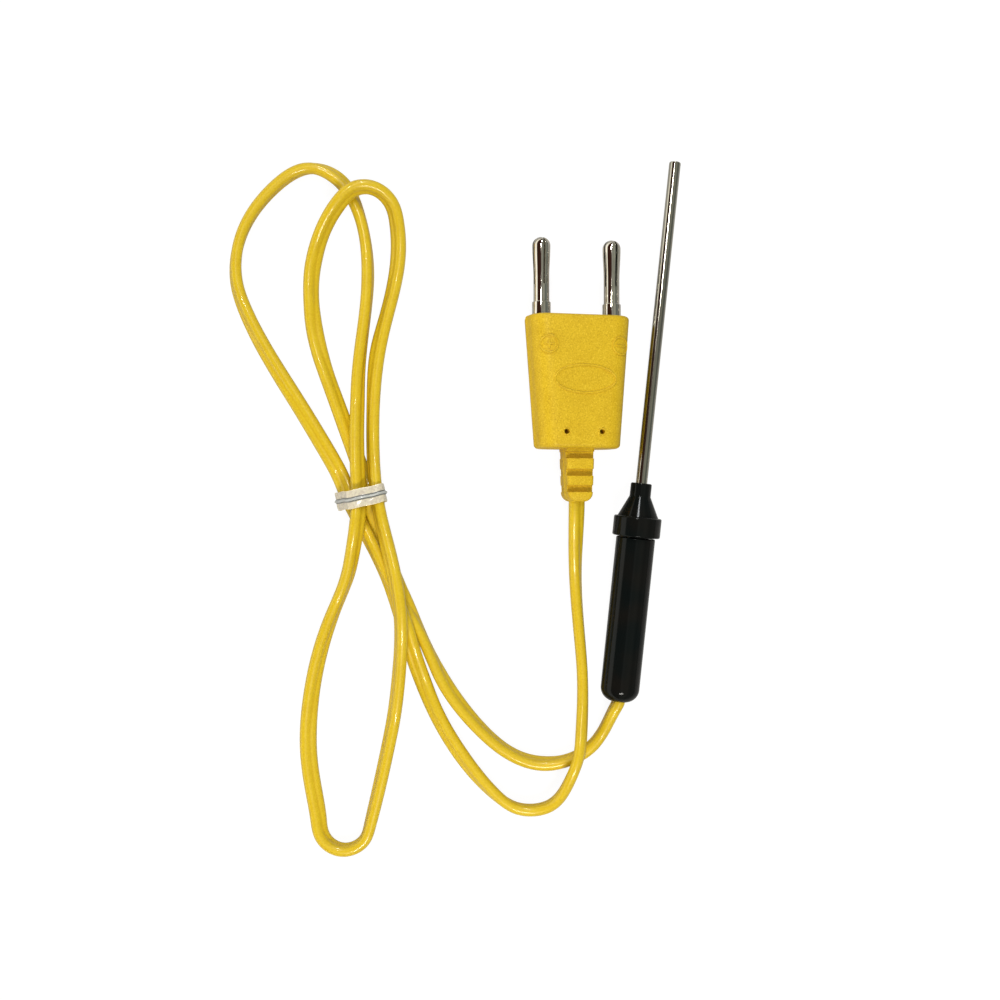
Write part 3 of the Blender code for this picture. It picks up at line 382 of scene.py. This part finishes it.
def strip_section(steps=41):
    """The strip's outline across its width and through its thickness. A bell of the wire's size
    stands up in the middle of its outer face, between two shallow valleys."""
    across = np.linspace(-TIE_WIDTH / 2, TIE_WIDTH / 2, steps)
    edge = np.sqrt(np.clip(1 - (2 * across / TIE_WIDTH)**20, 0, 1))
    bell = TIE_RIDGE * np.exp(-(across / TIE_RIDGE_WIDTH)**4)
    valley = 0.12 * TIE_RIDGE * np.exp(-((abs(across) - 2 * TIE_RIDGE_WIDTH) / TIE_RIDGE_WIDTH)**2)
    top = TIE_THICKNESS / 2 * (0.4 + 0.6 * edge) + bell - valley
    bottom = -TIE_THICKNESS / 2 * (0.4 + 0.6 * edge) - 0.5 * bell
    return np.column_stack([np.append(across, across[::-1]), np.append(top, bottom[::-1])])


tie_line = tie_path(260)
tie_heading = unit(np.gradient(tie_line, axis=0))
tie_out = np.column_stack([tie_heading[:, 1], -tie_heading[:, 0]])
tie_outline = strip_section()
tie_s = np.linspace(0, 1, len(tie_line))[:, None]
tie_a = tie_outline[None, :, 0]

# Small waves from handling, as sines along the strip and across it, and a slight sideways wander
tie_wave = (0.00007 * np.sin(37 * tie_s + 1.3) * np.cos(5.1 * tie_a / TIE_WIDTH + 23 * tie_s)
            + 0.00004 * np.sin(83 * tie_s + 9 * tie_a / TIE_WIDTH))
tie_b = tie_outline[None, :, 1] + tie_wave
tie_slide = tie_a + 0.00014 * np.sin(15 * tie_s + 0.5) + 0.00007 * np.sin(41 * tie_s)
tie_flat = tie_line[:, None] + tie_out[:, None] * tie_b[..., None]
tie_place = TIE_CENTRE + tie_flat[..., :1] * tie_right + tie_slide[..., None] * tie_along
tie_rings = np.concatenate([tie_place, tie_flat[..., 1:]], axis=-1)
tie_across = np.broadcast_to(tie_a / (TIE_WIDTH / 2), tie_rings.shape[:2])

ribbon = Finish("tie_ribbon", roughness=0.30, coat_weight=0.5, coat_roughness=0.12)
RIBBON_CREAM = (0.72, 0.66, 0.50)
RIBBON_SHADE = (0.50, 0.42, 0.37)
RIBBON_WIRE = (0.46, 0.48, 0.47)
RIBBON_RIDGE_SHADE = (0.10, 0.11, 0.11)
RIBBON_EDGE = (0.84, 0.74, 0.42)
across = ribbon.add("Attribute", {"attribute_name": "across"}, output="Fac")
blotch = ribbon.between(ribbon.object_noise(0.0007, 3.0), 0.42, 0.66)
colour = ribbon.mix(blotch * 0.6, RIBBON_CREAM, RIBBON_SHADE)
# Near-black lines on both sides of the wire's ridge, in its shallow valleys: painted shade.
colour = ribbon.mix(1 - ribbon.between(abs(across), 0.20, 0.30), colour, RIBBON_RIDGE_SHADE)
colour = ribbon.mix(1 - ribbon.between(abs(across), 0.08, 0.17), colour, RIBBON_WIRE)
colour = ribbon.mix(ribbon.between(abs(across), 0.90, 0.99) * 0.8, colour, RIBBON_EDGE)
ribbon.set(base_color=colour)
ribbon.bump(ribbon.object_noise(0.0006, 3.0), 0.00008, 0.7)
tie = skin("wire_tie", [(tie_rings, False)], ribbon, "tie_ribbon", across=tie_across)
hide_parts("twist_tie")

# Handle
# A grip and a nose piece, both turned or moulded in glossy black plastic. The nose's spigot is
# pressed into the grip, its collar stops the hand, and the sheath passes through its bore.
GRIP_DIAMETER = 0.0102
GRIP_LENGTH = 0.0434
GRIP_WALL = 0.00145
TAIL_ROUND = 0.0035
TAIL_WALL = 0.0040
SEAT_GAP = 0.0003
SPIGOT_LENGTH = 0.0055
COLLAR_DIAMETER = 0.0125
COLLAR_LENGTH = 0.0052
CONE_DIAMETER = 0.0107
CONE_LENGTH = 0.0054
NOSE_DIAMETER = 0.0055
NOSE_LENGTH = 0.0035
SHEATH_DIAMETER = 0.0030
EDGE_ROUND = 0.0003
AXIS_HOLE = 0.0002

COLLAR_BACK = GRIP_LENGTH + SEAT_GAP
COLLAR_FRONT = COLLAR_BACK + COLLAR_LENGTH
CONE_FRONT = COLLAR_FRONT + CONE_LENGTH
NOSE_FRONT = CONE_FRONT + NOSE_LENGTH
SPIGOT_BACK = COLLAR_BACK - SPIGOT_LENGTH


def rounded(corners, steps=8):
    """The outline through corners (across, along, radius): each corner gives way to a circular arc,
    read as the rational quadratic curve from one tangent point to the other."""
    corners = np.array(corners, float)
    share = np.linspace(0, 1, steps)[:, None]
    points = [corners[0, :2]]
    for before, corner, after in zip(corners[:-2, :2], corners[1:-1], corners[2:, :2]):
        spot, radius = corner[:2], corner[2]
        if not radius:
            points.append(spot)
            continue
        back, on = unit(before - spot), unit(after - spot)
        half = math.acos(float(np.clip(back @ on, -1, 1))) / 2
        reach = radius / math.tan(half)
        pull = 2 * share * (1 - share) * math.sin(half)
        weighed = (1 - share)**2 * (spot + back * reach) + pull * spot + share**2 * (spot + on * reach)
        points.extend(weighed / ((1 - share)**2 + pull + share**2))
    points.append(corners[-1, :2])
    return np.array(points)


def turned(profile, sides=96):
    """Rings of a turned piece about its own z axis: each profile point (radius, height) swept round."""
    angle = np.linspace(0, math.tau, sides, endpoint=False)
    radius, height = profile[:, :1], profile[:, 1:]
    rings = [radius * np.cos(angle), radius * np.sin(angle), height + 0 * angle]
    return np.stack(rings, axis=-1)


def placed(points, origin, right, ahead):
    """Points given as right, down and ahead of an origin, moved to their place in the frame."""
    down = np.cross(ahead, right)
    return origin + points[..., :1] * right + points[..., 1:2] * down + points[..., 2:] * ahead


handle_right = np.array((1.0, 0, 0))
handle_ahead = np.array((0, math.cos(HANDLE_TILT), math.sin(HANDLE_TILT)))


def on_handle(profile, sides=96):
    return placed(turned(profile, sides), HANDLE_TAIL, handle_right, handle_ahead)


black = Finish("black_plastic", roughness=0.12, specular_ior_level=0.13)
cloud = black.between(black.object_noise(0.010, 2.0), 0.35, 0.70)
BLACK_COOL = (0.0035, 0.0052, 0.0052)
BLACK_WARM = (0.0066, 0.0062, 0.0054)
black.set(base_color=black.mix(cloud, BLACK_COOL, BLACK_WARM))
black.bump(black.object_noise(0.0030, 2.0), 0.00002, 0.5)

radius = GRIP_DIAMETER / 2
grip_profile = rounded([
    (AXIS_HOLE, 0, 0),
    (radius, 0, TAIL_ROUND),
    (radius, GRIP_LENGTH, EDGE_ROUND),
    (radius - GRIP_WALL, GRIP_LENGTH, 0),
    (radius - GRIP_WALL, TAIL_WALL, 0),
    (AXIS_HOLE, TAIL_WALL, 0),
], 12)
grip = skin("grip", [(on_handle(grip_profile), False)], black, "black_plastic")
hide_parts("handle_grip")

bore = SHEATH_DIAMETER / 2 + SEAT_GAP
spigot = GRIP_DIAMETER / 2 - GRIP_WALL - SEAT_GAP
collar = COLLAR_DIAMETER / 2
nose_tip = NOSE_DIAMETER / 2
nose_profile = rounded([
    (bore, SPIGOT_BACK, 0),
    (spigot, SPIGOT_BACK, EDGE_ROUND),
    (spigot, COLLAR_BACK, 0),
    (collar, COLLAR_BACK, 0.0004),
    (collar, COLLAR_FRONT, 0.0004),
    (CONE_DIAMETER / 2, COLLAR_FRONT, 0.00025),
    (nose_tip, CONE_FRONT, 0.0004),
    (nose_tip, NOSE_FRONT, 0.0004),
    (bore, NOSE_FRONT, 0),
])
nose = skin("nose", [(on_handle(nose_profile), True)], black, "black_plastic")
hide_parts("handle_nose")

# Sheath
# A thin tube of drawn stainless steel, 3 mm across, closed and slightly rounded at its tip. It runs
# back through the nose into the grip, where a crimped ring holds it.
SHEATH_WALL = 0.0003
SHEATH_TIP_WALL = 0.0006
SHEATH_TIP_ROUND = 0.00035
SHEATH_VISIBLE = 0.0840
SHEATH_TAIL = 0.0057
TIP = NOSE_FRONT + SHEATH_VISIBLE
SHEATH_BACK = SPIGOT_BACK - SHEATH_TAIL

radius = SHEATH_DIAMETER / 2
sheath_profile = rounded([
    (AXIS_HOLE, TIP - SHEATH_TIP_WALL, 0),
    (radius - SHEATH_WALL, TIP - SHEATH_TIP_WALL, 0),
    (radius - SHEATH_WALL, SHEATH_BACK, 0),
    (radius, SHEATH_BACK, 0),
    (radius, TIP, SHEATH_TIP_ROUND),
    (AXIS_HOLE, TIP, 0),
])
steel = Finish("stainless_steel", metallic=1.0)
streak = steel.object_noise(0.0004, 2.0, stretch=(1, 60, 1))
patch = steel.object_noise(0.012, 3.0, stretch=(1, 2, 1))
STEEL_PALE = (0.43, 0.41, 0.345)
STEEL_DARK = (0.34, 0.325, 0.28)
steel.set(base_color=steel.mix(steel.between(patch, 0.3, 0.7), STEEL_PALE, STEEL_DARK),
          roughness=0.09 + 0.09 * streak)
steel.bump(streak, 0.00001, 0.3)
sheath = skin("sheath", [(on_handle(sheath_profile, 72), False)], steel, "stainless_steel")
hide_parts("probe_sheath")

# Plug
# One flat, tapered moulding in satin yellow plastic over the pin carrier, with its ribbed strain
# relief. A fine flash runs along its parting line. Two small dimples with raised rims are left by
# the mould, and the two poles are marked in thin raised lines.
PIN_PITCH = 0.0190
PLUG_HALF_WIDTH = PIN_PITCH / 2 + 0.0043
PLUG_TAPER = 0.0051
PLUG_HALF_THICKNESS = 0.0135 / 2
PLUG_SIDE_SLOPE = 0.15
PLUG_LONG_FILLET = 0.0050
PLUG_END_FILLET = 0.0010
PLUG_SHIFT = 0.0003
PLUG_CROWN = 0.0001
FACE_STRIPS = (0.01, 0.35, 0.7)
FLASH_HALF = 0.00013
FLASH_STAND = 0.00008
FACE_HOLE_DIAMETER = 0.0013
FACE_HOLE_DEPTH = 0.0030
FACE_HOLE_OFFSET = 0.0047
FACE_HOLE_BACK = 0.0044
FACE_HOLES_RIGHT = 0.0002
RELIEF_HALF_WIDTH = 0.0039
RELIEF_TAPER = 0.0012
RELIEF_HALF_THICKNESS = 0.0042
RELIEF_FILLET = 0.0010
RELIEF_END_FILLET = 0.0007
RELIEF_END_ROUND = 0.0023
RELIEF_ROOT = 0.0030
SLOT_STARTS = (0.0005, 0.0050, 0.0092)
SLOT_WIDTH = 0.00185
SLOT_DEPTH = 0.0016
SLOT_DRAFT = 0.00008

plug_ahead = np.array((-math.sin(PLUG_TURN), math.cos(PLUG_TURN), 0))
plug_level = np.array((math.cos(PLUG_TURN), math.sin(PLUG_TURN), 0))
plug_right = plug_level * math.cos(PLUG_ROLL) - np.array((0, 0, math.sin(PLUG_ROLL)))


def on_plug(points):
    return placed(points, PLUG_FRONT, plug_right, plug_ahead)


def box_ring(half_width, half_depth, corner, depth, slope=0.0, steps=11):
    """Rings of a box with rounded corners, one for each value of the sizes. Above and below a thin
    flash at mid height its sides lean in by the slope, and each corner is an arc that touches both
    of its sides."""
    turn = np.linspace(math.atan(slope), math.pi / 2, steps)
    side, corner = half_width[:, None], corner[:, None]
    high = half_depth[:, None] - corner
    x = side - slope * high - corner * math.hypot(1, slope) + corner * np.cos(turn)
    y = high + corner * np.sin(turn)
    beside = side - slope * FLASH_HALF
    above = np.full_like(side, FLASH_HALF)
    edge = side + FLASH_STAND
    across = np.hstack([edge, beside, x, -x[:, ::-1], -beside, -edge, -beside, -x, x[:, ::-1], beside])
    up = np.hstack([0 * side, above, y, y[:, ::-1], above, 0 * side, -above, -y, -y[:, ::-1], -above])
    return np.stack([across, up, np.broadcast_to(depth[:, None], up.shape)], axis=-1)


def half_width_at(depth):
    return PLUG_HALF_WIDTH - PLUG_TAPER / 2 * depth / PLUG_LENGTH


def plug_rings():
    """Rings from the front face to the rear one, drawn in by a quarter circle at both ends. The front
    face is crowned by a parabola through its thickness, and strips of less width close it."""
    turn = np.linspace(math.pi / 2, 0, 7)
    drawn = PLUG_END_FILLET * (1 - np.cos(turn))
    depth = PLUG_END_FILLET * (1 - np.sin(turn))
    crown = np.append(np.full(len(turn), PLUG_CROWN), np.zeros(len(turn)))[:, None]
    drawn = np.append(drawn, drawn[::-1])
    depth = np.append(depth, PLUG_LENGTH - depth[::-1])
    rings = box_ring(half_width_at(depth) - drawn, PLUG_HALF_THICKNESS - drawn,
                     PLUG_LONG_FILLET - drawn, PLUG_SHIFT - depth, PLUG_SIDE_SLOPE)
    rings[..., 2] += crown * (1 - (rings[..., 1] / PLUG_HALF_THICKNESS)**2)
    face = rings[:1] * [[(share, 1, 1)] for share in FACE_STRIPS]
    return np.concatenate([face, rings])


def relief_rings():
    """Rings from inside the body to the rear end. In the slots the section is cut off above and
    below, and at the end it is drawn in by a quarter circle."""
    walls = np.array([(start, start + SLOT_DRAFT, start + SLOT_WIDTH - SLOT_DRAFT, start + SLOT_WIDTH)
                      for start in SLOT_STARTS])
    turn = np.linspace(0, math.pi / 2, 8)
    drawn = np.concatenate([np.zeros(1 + walls.size), 1 - np.cos(turn)])
    end = RELIEF_LENGTH - RELIEF_END_ROUND * (1 - np.sin(turn))
    depth = np.concatenate([[-RELIEF_ROOT], walls.ravel(), end])
    cut = np.concatenate([[0], np.tile((0, 1, 1, 0), len(SLOT_STARTS)), np.zeros(len(turn))])
    share = (depth + RELIEF_ROOT) / (RELIEF_LENGTH + RELIEF_ROOT)
    half_width = RELIEF_HALF_WIDTH - RELIEF_TAPER / 2 * share - RELIEF_END_ROUND * drawn
    drawn *= RELIEF_END_FILLET
    rings = box_ring(half_width, RELIEF_HALF_THICKNESS - drawn, RELIEF_FILLET - drawn,
                     -PLUG_LENGTH - depth)
    limit = (RELIEF_HALF_THICKNESS - SLOT_DEPTH * cut)[:, None]
    rings[..., 1] = np.clip(rings[..., 1], -limit, limit)
    return rings


def face_hole(side):
    """A round cutter that stands across the top face."""
    bottom = -PLUG_HALF_THICKNESS + FACE_HOLE_DEPTH
    top = -PLUG_HALF_THICKNESS - FACE_HOLE_DEPTH
    profile = np.array([(FACE_HOLE_DIAMETER / 2, bottom), (FACE_HOLE_DIAMETER / 2, top)])
    rings = turned(profile, 24)[..., [0, 2, 1]]
    return rings + (side * FACE_HOLE_OFFSET + FACE_HOLES_RIGHT, 0, FACE_HOLE_BACK - PLUG_LENGTH)


def surface_height(across, depth):
    """How far the top face lies from the plug's middle plane: flat, then round the long fillet."""
    high = PLUG_HALF_THICKNESS - PLUG_LONG_FILLET
    flat = (half_width_at(depth) - PLUG_SIDE_SLOPE * high
            - PLUG_LONG_FILLET * math.hypot(1, PLUG_SIDE_SLOPE))
    over = np.clip(abs(across) - flat, 0, PLUG_LONG_FILLET * 0.98)
    return high + np.sqrt(PLUG_LONG_FILLET**2 - over**2)


def raised_line(across, depth, radius, closed):
    """A round bead, half sunk, along a line on the top face. It thins by the square of how far the
    face has dropped towards the side, and the ends of an open one taper in."""
    line = np.column_stack([across, -surface_height(across, depth), -depth])
    width = radius * np.clip(1 - ((PLUG_HALF_THICKNESS + line[:, 1]) / MARK_FADE)**2, 0.2, 1)
    if closed:
        heading = unit(np.roll(line, -1, axis=0) - np.roll(line, 1, axis=0))
    else:
        heading = unit(np.gradient(line, axis=0))
        place = np.linspace(-1, 1, len(line))
        width *= np.sqrt(np.clip(1.03 - place**16, 0.03, 1))
    side = unit(np.cross(heading, (0, 1, 0)))
    up = np.cross(heading, side)
    turn = np.linspace(0, math.tau, 10, endpoint=False)[:, None]
    ring = np.cos(turn) * side[:, None] + np.sin(turn) * up[:, None]
    return line[:, None] + width[:, None, None] * ring, closed


moulding = Finish("yellow_moulding", roughness=0.50, specular_ior_level=0.22, coat_weight=0.04,
                  coat_roughness=0.25)
MOULDING_YELLOW = (0.675, 0.445, 0.014)
MOULDING_PALE = (0.81, 0.585, 0.042)
MOULDING_DEEP = (0.50, 0.29, 0.005)
grain = moulding.object_noise(0.00036, 2.0)
cloud = moulding.between(moulding.object_noise(0.004, 3.0), 0.35, 0.70)
colour = moulding.mix(cloud * 0.22, MOULDING_YELLOW, MOULDING_DEEP)
colour = moulding.mix(moulding.between(grain, 0.54, 0.68) * 0.65, colour, MOULDING_PALE)
colour = moulding.mix((1 - moulding.between(grain, 0.34, 0.47)) * 0.60, colour, MOULDING_DEEP)
moulding.set(base_color=colour)
moulding.bump(grain, 0.00010, 0.7)

plug_shells = [(on_plug(plug_rings()), False)]
plug = skin("plug_moulding", plug_shells, moulding, "yellow_moulding")
relief = skin("relief_form", [(on_plug(relief_rings()), False)], moulding, "yellow_moulding")
holes = [skin("hole_form", [(on_plug(face_hole(side)), False)], moulding, "yellow_moulding")
         for side in (-1, 1)]
for other, operation in ((relief, "UNION"), (holes[0], "DIFFERENCE"), (holes[1], "DIFFERENCE")):
    cut = plug.modifiers.new(other.name, "BOOLEAN")
    cut.operation = operation
    cut.object = other
bpy.context.view_layer.update()
whole = bpy.data.meshes.new_from_object(plug.evaluated_get(bpy.context.evaluated_depsgraph_get()))
plug.modifiers.clear()
plug.data = whole
whole.shade_smooth()
whole.set_sharp_from_angle(angle=math.radians(32))
for form in (relief, *holes):
    bpy.data.objects.remove(form)
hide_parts("plug_body")

MARK_RADIUS = 0.00031
MARK_FADE = 0.0040
MARKS_RIGHT = 0.00050
POLE_RING = 0.0022
POLE_BAR = 0.0013
POLE_BACK = 0.0076
OVAL_HALF_LENGTH = 0.00805
OVAL_HALF_WIDTH = 0.00355
OVAL_BACK = 0.0163
HOLE_RIM = 0.00088
HOLE_RIM_RADIUS = 0.00022
around = np.linspace(0, math.tau, 64, endpoint=False)
bar = np.linspace(-POLE_BAR, POLE_BAR, 24)
for name, side in (("plus_mark", -1), ("minus_mark", 1)):
    x = side * PIN_PITCH / 2 + MARKS_RIGHT
    lines = [raised_line(x + POLE_RING * np.cos(around), POLE_BACK + POLE_RING * np.sin(around),
                         MARK_RADIUS, True),
             raised_line(x + bar, POLE_BACK + 0 * bar, MARK_RADIUS, False)]
    if side < 0:
        lines.append(raised_line(x + 0 * bar, POLE_BACK + bar, MARK_RADIUS, False))
    shells = [(on_plug(rings), closed) for rings, closed in lines]
    skin(name, shells, moulding, "yellow_moulding", sharp=60)
oval, _ = raised_line(MARKS_RIGHT + OVAL_HALF_LENGTH * np.cos(around),
                      OVAL_BACK + OVAL_HALF_WIDTH * np.sin(around), MARK_RADIUS, True)
skin("oval_mark", [(on_plug(oval), True)], moulding, "yellow_moulding", sharp=60)
rims = [raised_line(side * FACE_HOLE_OFFSET + FACE_HOLES_RIGHT + HOLE_RIM * np.cos(around),
                    PLUG_LENGTH - FACE_HOLE_BACK + HOLE_RIM * np.sin(around), HOLE_RIM_RADIUS, True)
        for side in (-1, 1)]
skin("hole_rims", [(on_plug(rings), True) for rings, _ in rims], moulding,
                  "yellow_moulding", sharp=60)

# Pins
# Brass, turned and nickel plated. The head of each is sawn into four sprung lobes that bulge a
# little, behind it comes a wider collar, and the shank runs back through the carrier.
PIN_LENGTH = 0.0208
PIN_RADIUS = 0.0041 / 2
PIN_HEAD_RADIUS = 0.0047 / 2
PIN_DOME_LENGTH = 0.0022
PIN_HEAD_LENGTH = 0.0085
PIN_COLLAR_RADIUS = 0.0048 / 2
PIN_COLLAR_LENGTH = 0.0037
PIN_SHANK_RADIUS = 0.0024 / 2
PIN_SHANK_END = -0.0160
PIN_CUP_WALL = 0.0004
PIN_CUP_DEPTH = 0.0030
PIN_CUT_LENGTH = 0.0123
PIN_CUT_HALF = 0.0005 / 2
PIN_CUT_TURNS = {-1: math.radians(8), 1: math.radians(18)}
LOBE_ROOT = 0.0001
LOBE_EDGE = 0.00006


def lobe_rings(quarter):
    """Rings of one sprung lobe, up the pin: a quarter of the head's round section, moved off the
    crossed cuts. The head's radius swells by a cosine, then ends in an elliptical dome, which stops
    just short of where the cuts cross."""
    root = PIN_LENGTH - PIN_CUT_LENGTH - LOBE_ROOT
    dome = PIN_LENGTH - PIN_DOME_LENGTH
    straight = np.linspace(root, dome, 30)
    climb = np.clip((straight - dome + PIN_HEAD_LENGTH) / PIN_HEAD_LENGTH, 0, 1)
    swell = (PIN_HEAD_RADIUS - PIN_RADIUS) * (1 - np.cos(np.pi * climb)) / 2
    turn = np.linspace(0, np.arccos(2.1 * PIN_CUT_HALF / PIN_HEAD_RADIUS), 12)[1:]
    radius = np.append(PIN_RADIUS + swell, PIN_HEAD_RADIUS * np.cos(turn))[:, None]
    height = np.append(straight, dome + PIN_DOME_LENGTH * np.sin(turn))[:, None]
    off = np.arcsin(PIN_CUT_HALF / radius)
    share = np.array((0, 0.04, 0.12, 0.25, 0.375, 0.5, 0.625, 0.75, 0.88, 0.96, 1))
    angle = off + (math.pi / 2 - 2 * off) * share
    rim = radius - LOBE_EDGE * np.isin(share, (0, 1))
    corner = np.full_like(radius, PIN_CUT_HALF)
    x = np.hstack([rim * np.cos(angle), corner])
    y = np.hstack([rim * np.sin(angle), corner])
    c, s = math.cos(quarter), math.sin(quarter)
    return np.stack([c * x - s * y, s * x + c * y, np.broadcast_to(height, x.shape)], axis=-1)


collar_front = SEAT_GAP + PIN_COLLAR_LENGTH
cup = PIN_SHANK_RADIUS - PIN_CUP_WALL
pin_profile = rounded([
    (AXIS_HOLE, PIN_LENGTH - PIN_CUT_LENGTH, 0),
    (PIN_RADIUS, PIN_LENGTH - PIN_CUT_LENGTH, 0),
    (PIN_RADIUS, collar_front, 0.00012),
    (PIN_COLLAR_RADIUS, collar_front, 0.00018),
    (PIN_COLLAR_RADIUS, SEAT_GAP, 0.0003),
    (PIN_SHANK_RADIUS, SEAT_GAP, 0),
    (PIN_SHANK_RADIUS, PIN_SHANK_END, 0),
    (cup, PIN_SHANK_END, 0),
    (cup, PIN_SHANK_END + PIN_CUP_DEPTH, 0),
    (AXIS_HOLE, PIN_SHANK_END + PIN_CUP_DEPTH, 0),
])
plating = Finish("plated_brass", metallic=1.0)
smudge = plating.object_noise(0.0025, 3.0)
turning = plating.object_noise(0.0003, 2.0, stretch=(20, 1, 20))
PLATING_PALE = (0.62, 0.59, 0.52)
PLATING_WARM = (0.52, 0.48, 0.39)
plating.set(base_color=plating.mix(plating.between(smudge, 0.45, 0.75), PLATING_PALE, PLATING_WARM),
            roughness=0.04 + 0.06 * smudge)
plating.bump(turning, 0.000005, 0.3)
for name, node, side in (("left_pin", "positive_pin", -1), ("right_pin", "negative_pin", 1)):
    quarters = PIN_CUT_TURNS[side] + np.arange(4) * math.pi / 2
    shells = [turned(pin_profile, 64), *map(lobe_rings, quarters)]
    beside = np.array((side * PIN_PITCH / 2, 0, 0))
    shells = [(on_plug(rings + beside), False) for rings in shells]
    pin = skin(name, shells, plating, "plated_brass", sharp=40)
    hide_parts(node)

# Inside the plug, the handle and the sheath
# The carrier, cores, splices, clamp, ferrule, insulator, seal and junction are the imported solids.
# Each keeps its form and gets the finish of what it is made of.
INSIDE = {
    "carrier_plastic": ((0.80, 0.78, 0.70), 0.50, 0.0, ["plug_core"]),
    "yellow_insulation": ((0.85, 0.62, 0.03), 0.40, 0.0,
                          ["handle_positive_lead", "plug_positive_lead"]),
    "red_insulation": ((0.60, 0.03, 0.02), 0.40, 0.0, ["handle_negative_lead", "plug_negative_lead"]),
    "brass": ((0.75, 0.56, 0.26), 0.28, 1.0, ["positive_splice", "negative_splice"]),
    "crimped_steel": ((0.50, 0.48, 0.44), 0.30, 1.0, ["sheath_ferrule", "handle_cord_clamp"]),
    "insulator_ceramic": ((0.85, 0.83, 0.78), 0.60, 0.0, ["sheath_insulator"]),
    "seal_resin": ((0.55, 0.25, 0.12), 0.40, 0.0, ["sheath_end_seal"]),
    "nickel_alloy": ((0.55, 0.53, 0.50), 0.32, 1.0,
                     ["hot_junction_bead", "positive_element_wire", "negative_element_wire"]),
}
for name, (colour, roughness, metallic, nodes) in INSIDE.items():
    inner = Finish(name, metallic=metallic)
    fleck = inner.object_noise(0.0008, 3.0)
    darker = tuple(0.7 * value for value in colour)
    inner.set(base_color=inner.mix(inner.between(fleck, 0.40, 0.75) * 0.6, colour, darker),
              roughness=roughness - 0.05 + 0.10 * fleck)
    inner.bump(fleck, 0.00003, 0.4)
    for node in nodes:
        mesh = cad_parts[node].data
        mesh.materials.clear()
        mesh.materials.append(inner.material)

# Floor and light
# A pale floor that is seen as white and keeps a soft shadow, and a grey room with a bright horizon
# and a dark reddish wall on the left. Three small lamps stand near, far and overhead.
FLOOR_HALF = 2.0
FLOOR_WHITE = (0.50, 0.50, 0.50)
FLOOR_SHOWN = 1.17
FLOOR_SHADOW_SHARE = 0.20

floor_mesh = bpy.data.meshes.new("floor")
corners = [(x * FLOOR_HALF, y * FLOOR_HALF, 0) for x, y in ((-1, -1), (1, -1), (1, 1), (-1, 1))]
floor_mesh.from_pydata(corners, [], [(0, 1, 2, 3)])
floor = bpy.data.objects.new("floor", floor_mesh)
bpy.context.scene.collection.objects.link(floor)
paper = Finish("floor", base_color=FLOOR_WHITE, roughness=0.9, specular_ior_level=0.1)
shown = paper.add("Emission", None, {"Strength": FLOOR_SHOWN})
in_view = paper.add("LightPath", output="Is Camera Ray")
both = paper.add("MixShader", None, {0: in_view * (1 - FLOOR_SHADOW_SHARE),
                                     1: Link(paper, paper.shader.outputs[0]), 2: shown})
paper.tree.links.new(both.socket, paper.tree.nodes["Material Output"].inputs["Surface"])
floor_mesh.materials.append(paper.material)

world = bpy.data.worlds.new("room")
world.use_nodes = True
bpy.context.scene.world = world
room = Nodes(world.node_tree)

# What the pieces reflect: the room's colour at each turn about the y axis, from straight down at 0
# through left, up and right to straight down again at 1
ROOM_STOPS = [(0.0, (0.9, 0.9, 0.9)), (0.320, (1.7, 1.65, 1.50)), (0.335, (0.05, 0.02, 0.012)),
              (0.482, (0.05, 0.018, 0.012)), (0.500, (0.42, 0.42, 0.39)), (0.530, (0.28, 0.29, 0.25)),
              (0.600, (0.42, 0.43, 0.37)), (0.660, (0.14, 0.16, 0.15)), (0.720, (0.26, 0.28, 0.26)),
              (0.760, (0.06, 0.08, 0.08)), (1.0, (0.5, 0.5, 0.5))]
way = room.add("TexCoord", output="Generated")
split = room.add("SeparateXYZ", None, (way,))
turn = split.maths("ARCTAN2", split, Link(room, split.socket.node.outputs["Z"]))
walls = room.add("ValToRGB", {"stops": ROOM_STOPS}, (turn / math.tau + 0.5,))
seen = room.add("LightPath", output="Is Camera Ray")
shade = room.mix(seen, walls, (1.0, 1.0, 1.0))
room.feed(world.node_tree.nodes["Background"], "Color", shade)


def lamp(name, place, target, size, power, colour):
    """A square or oblong lamp of this size in metres and power in watts, facing its target."""
    data = bpy.data.lights.new(name, "AREA")
    data.shape = "RECTANGLE"
    data.size, data.size_y = size
    data.energy = power
    data.color = colour
    made = bpy.data.objects.new(name, data)
    made.location = place
    made.rotation_euler = (Vector(target) - Vector(place)).to_track_quat("-Z", "Y").to_euler()
    bpy.context.scene.collection.objects.link(made)


lamp("near_lamp", (0.045, -0.40, 0.52), (-0.03, -0.02, 0), (0.22, 0.10), 2.7, (1.0, 0.97, 0.91))
lamp("far_lamp", (-0.05, 0.60, 0.50), (-0.03, -0.02, 0), (0.09, 0.16), 2.0, (0.94, 0.97, 1.0))
lamp("top_lamp", (-0.12, 0.22, 0.60), (-0.05, -0.02, 0), (0.03, 0.12), 1.0, (1.0, 0.98, 0.95))

scene_view = bpy.context.scene.view_settings
scene_view.view_transform = "Standard"
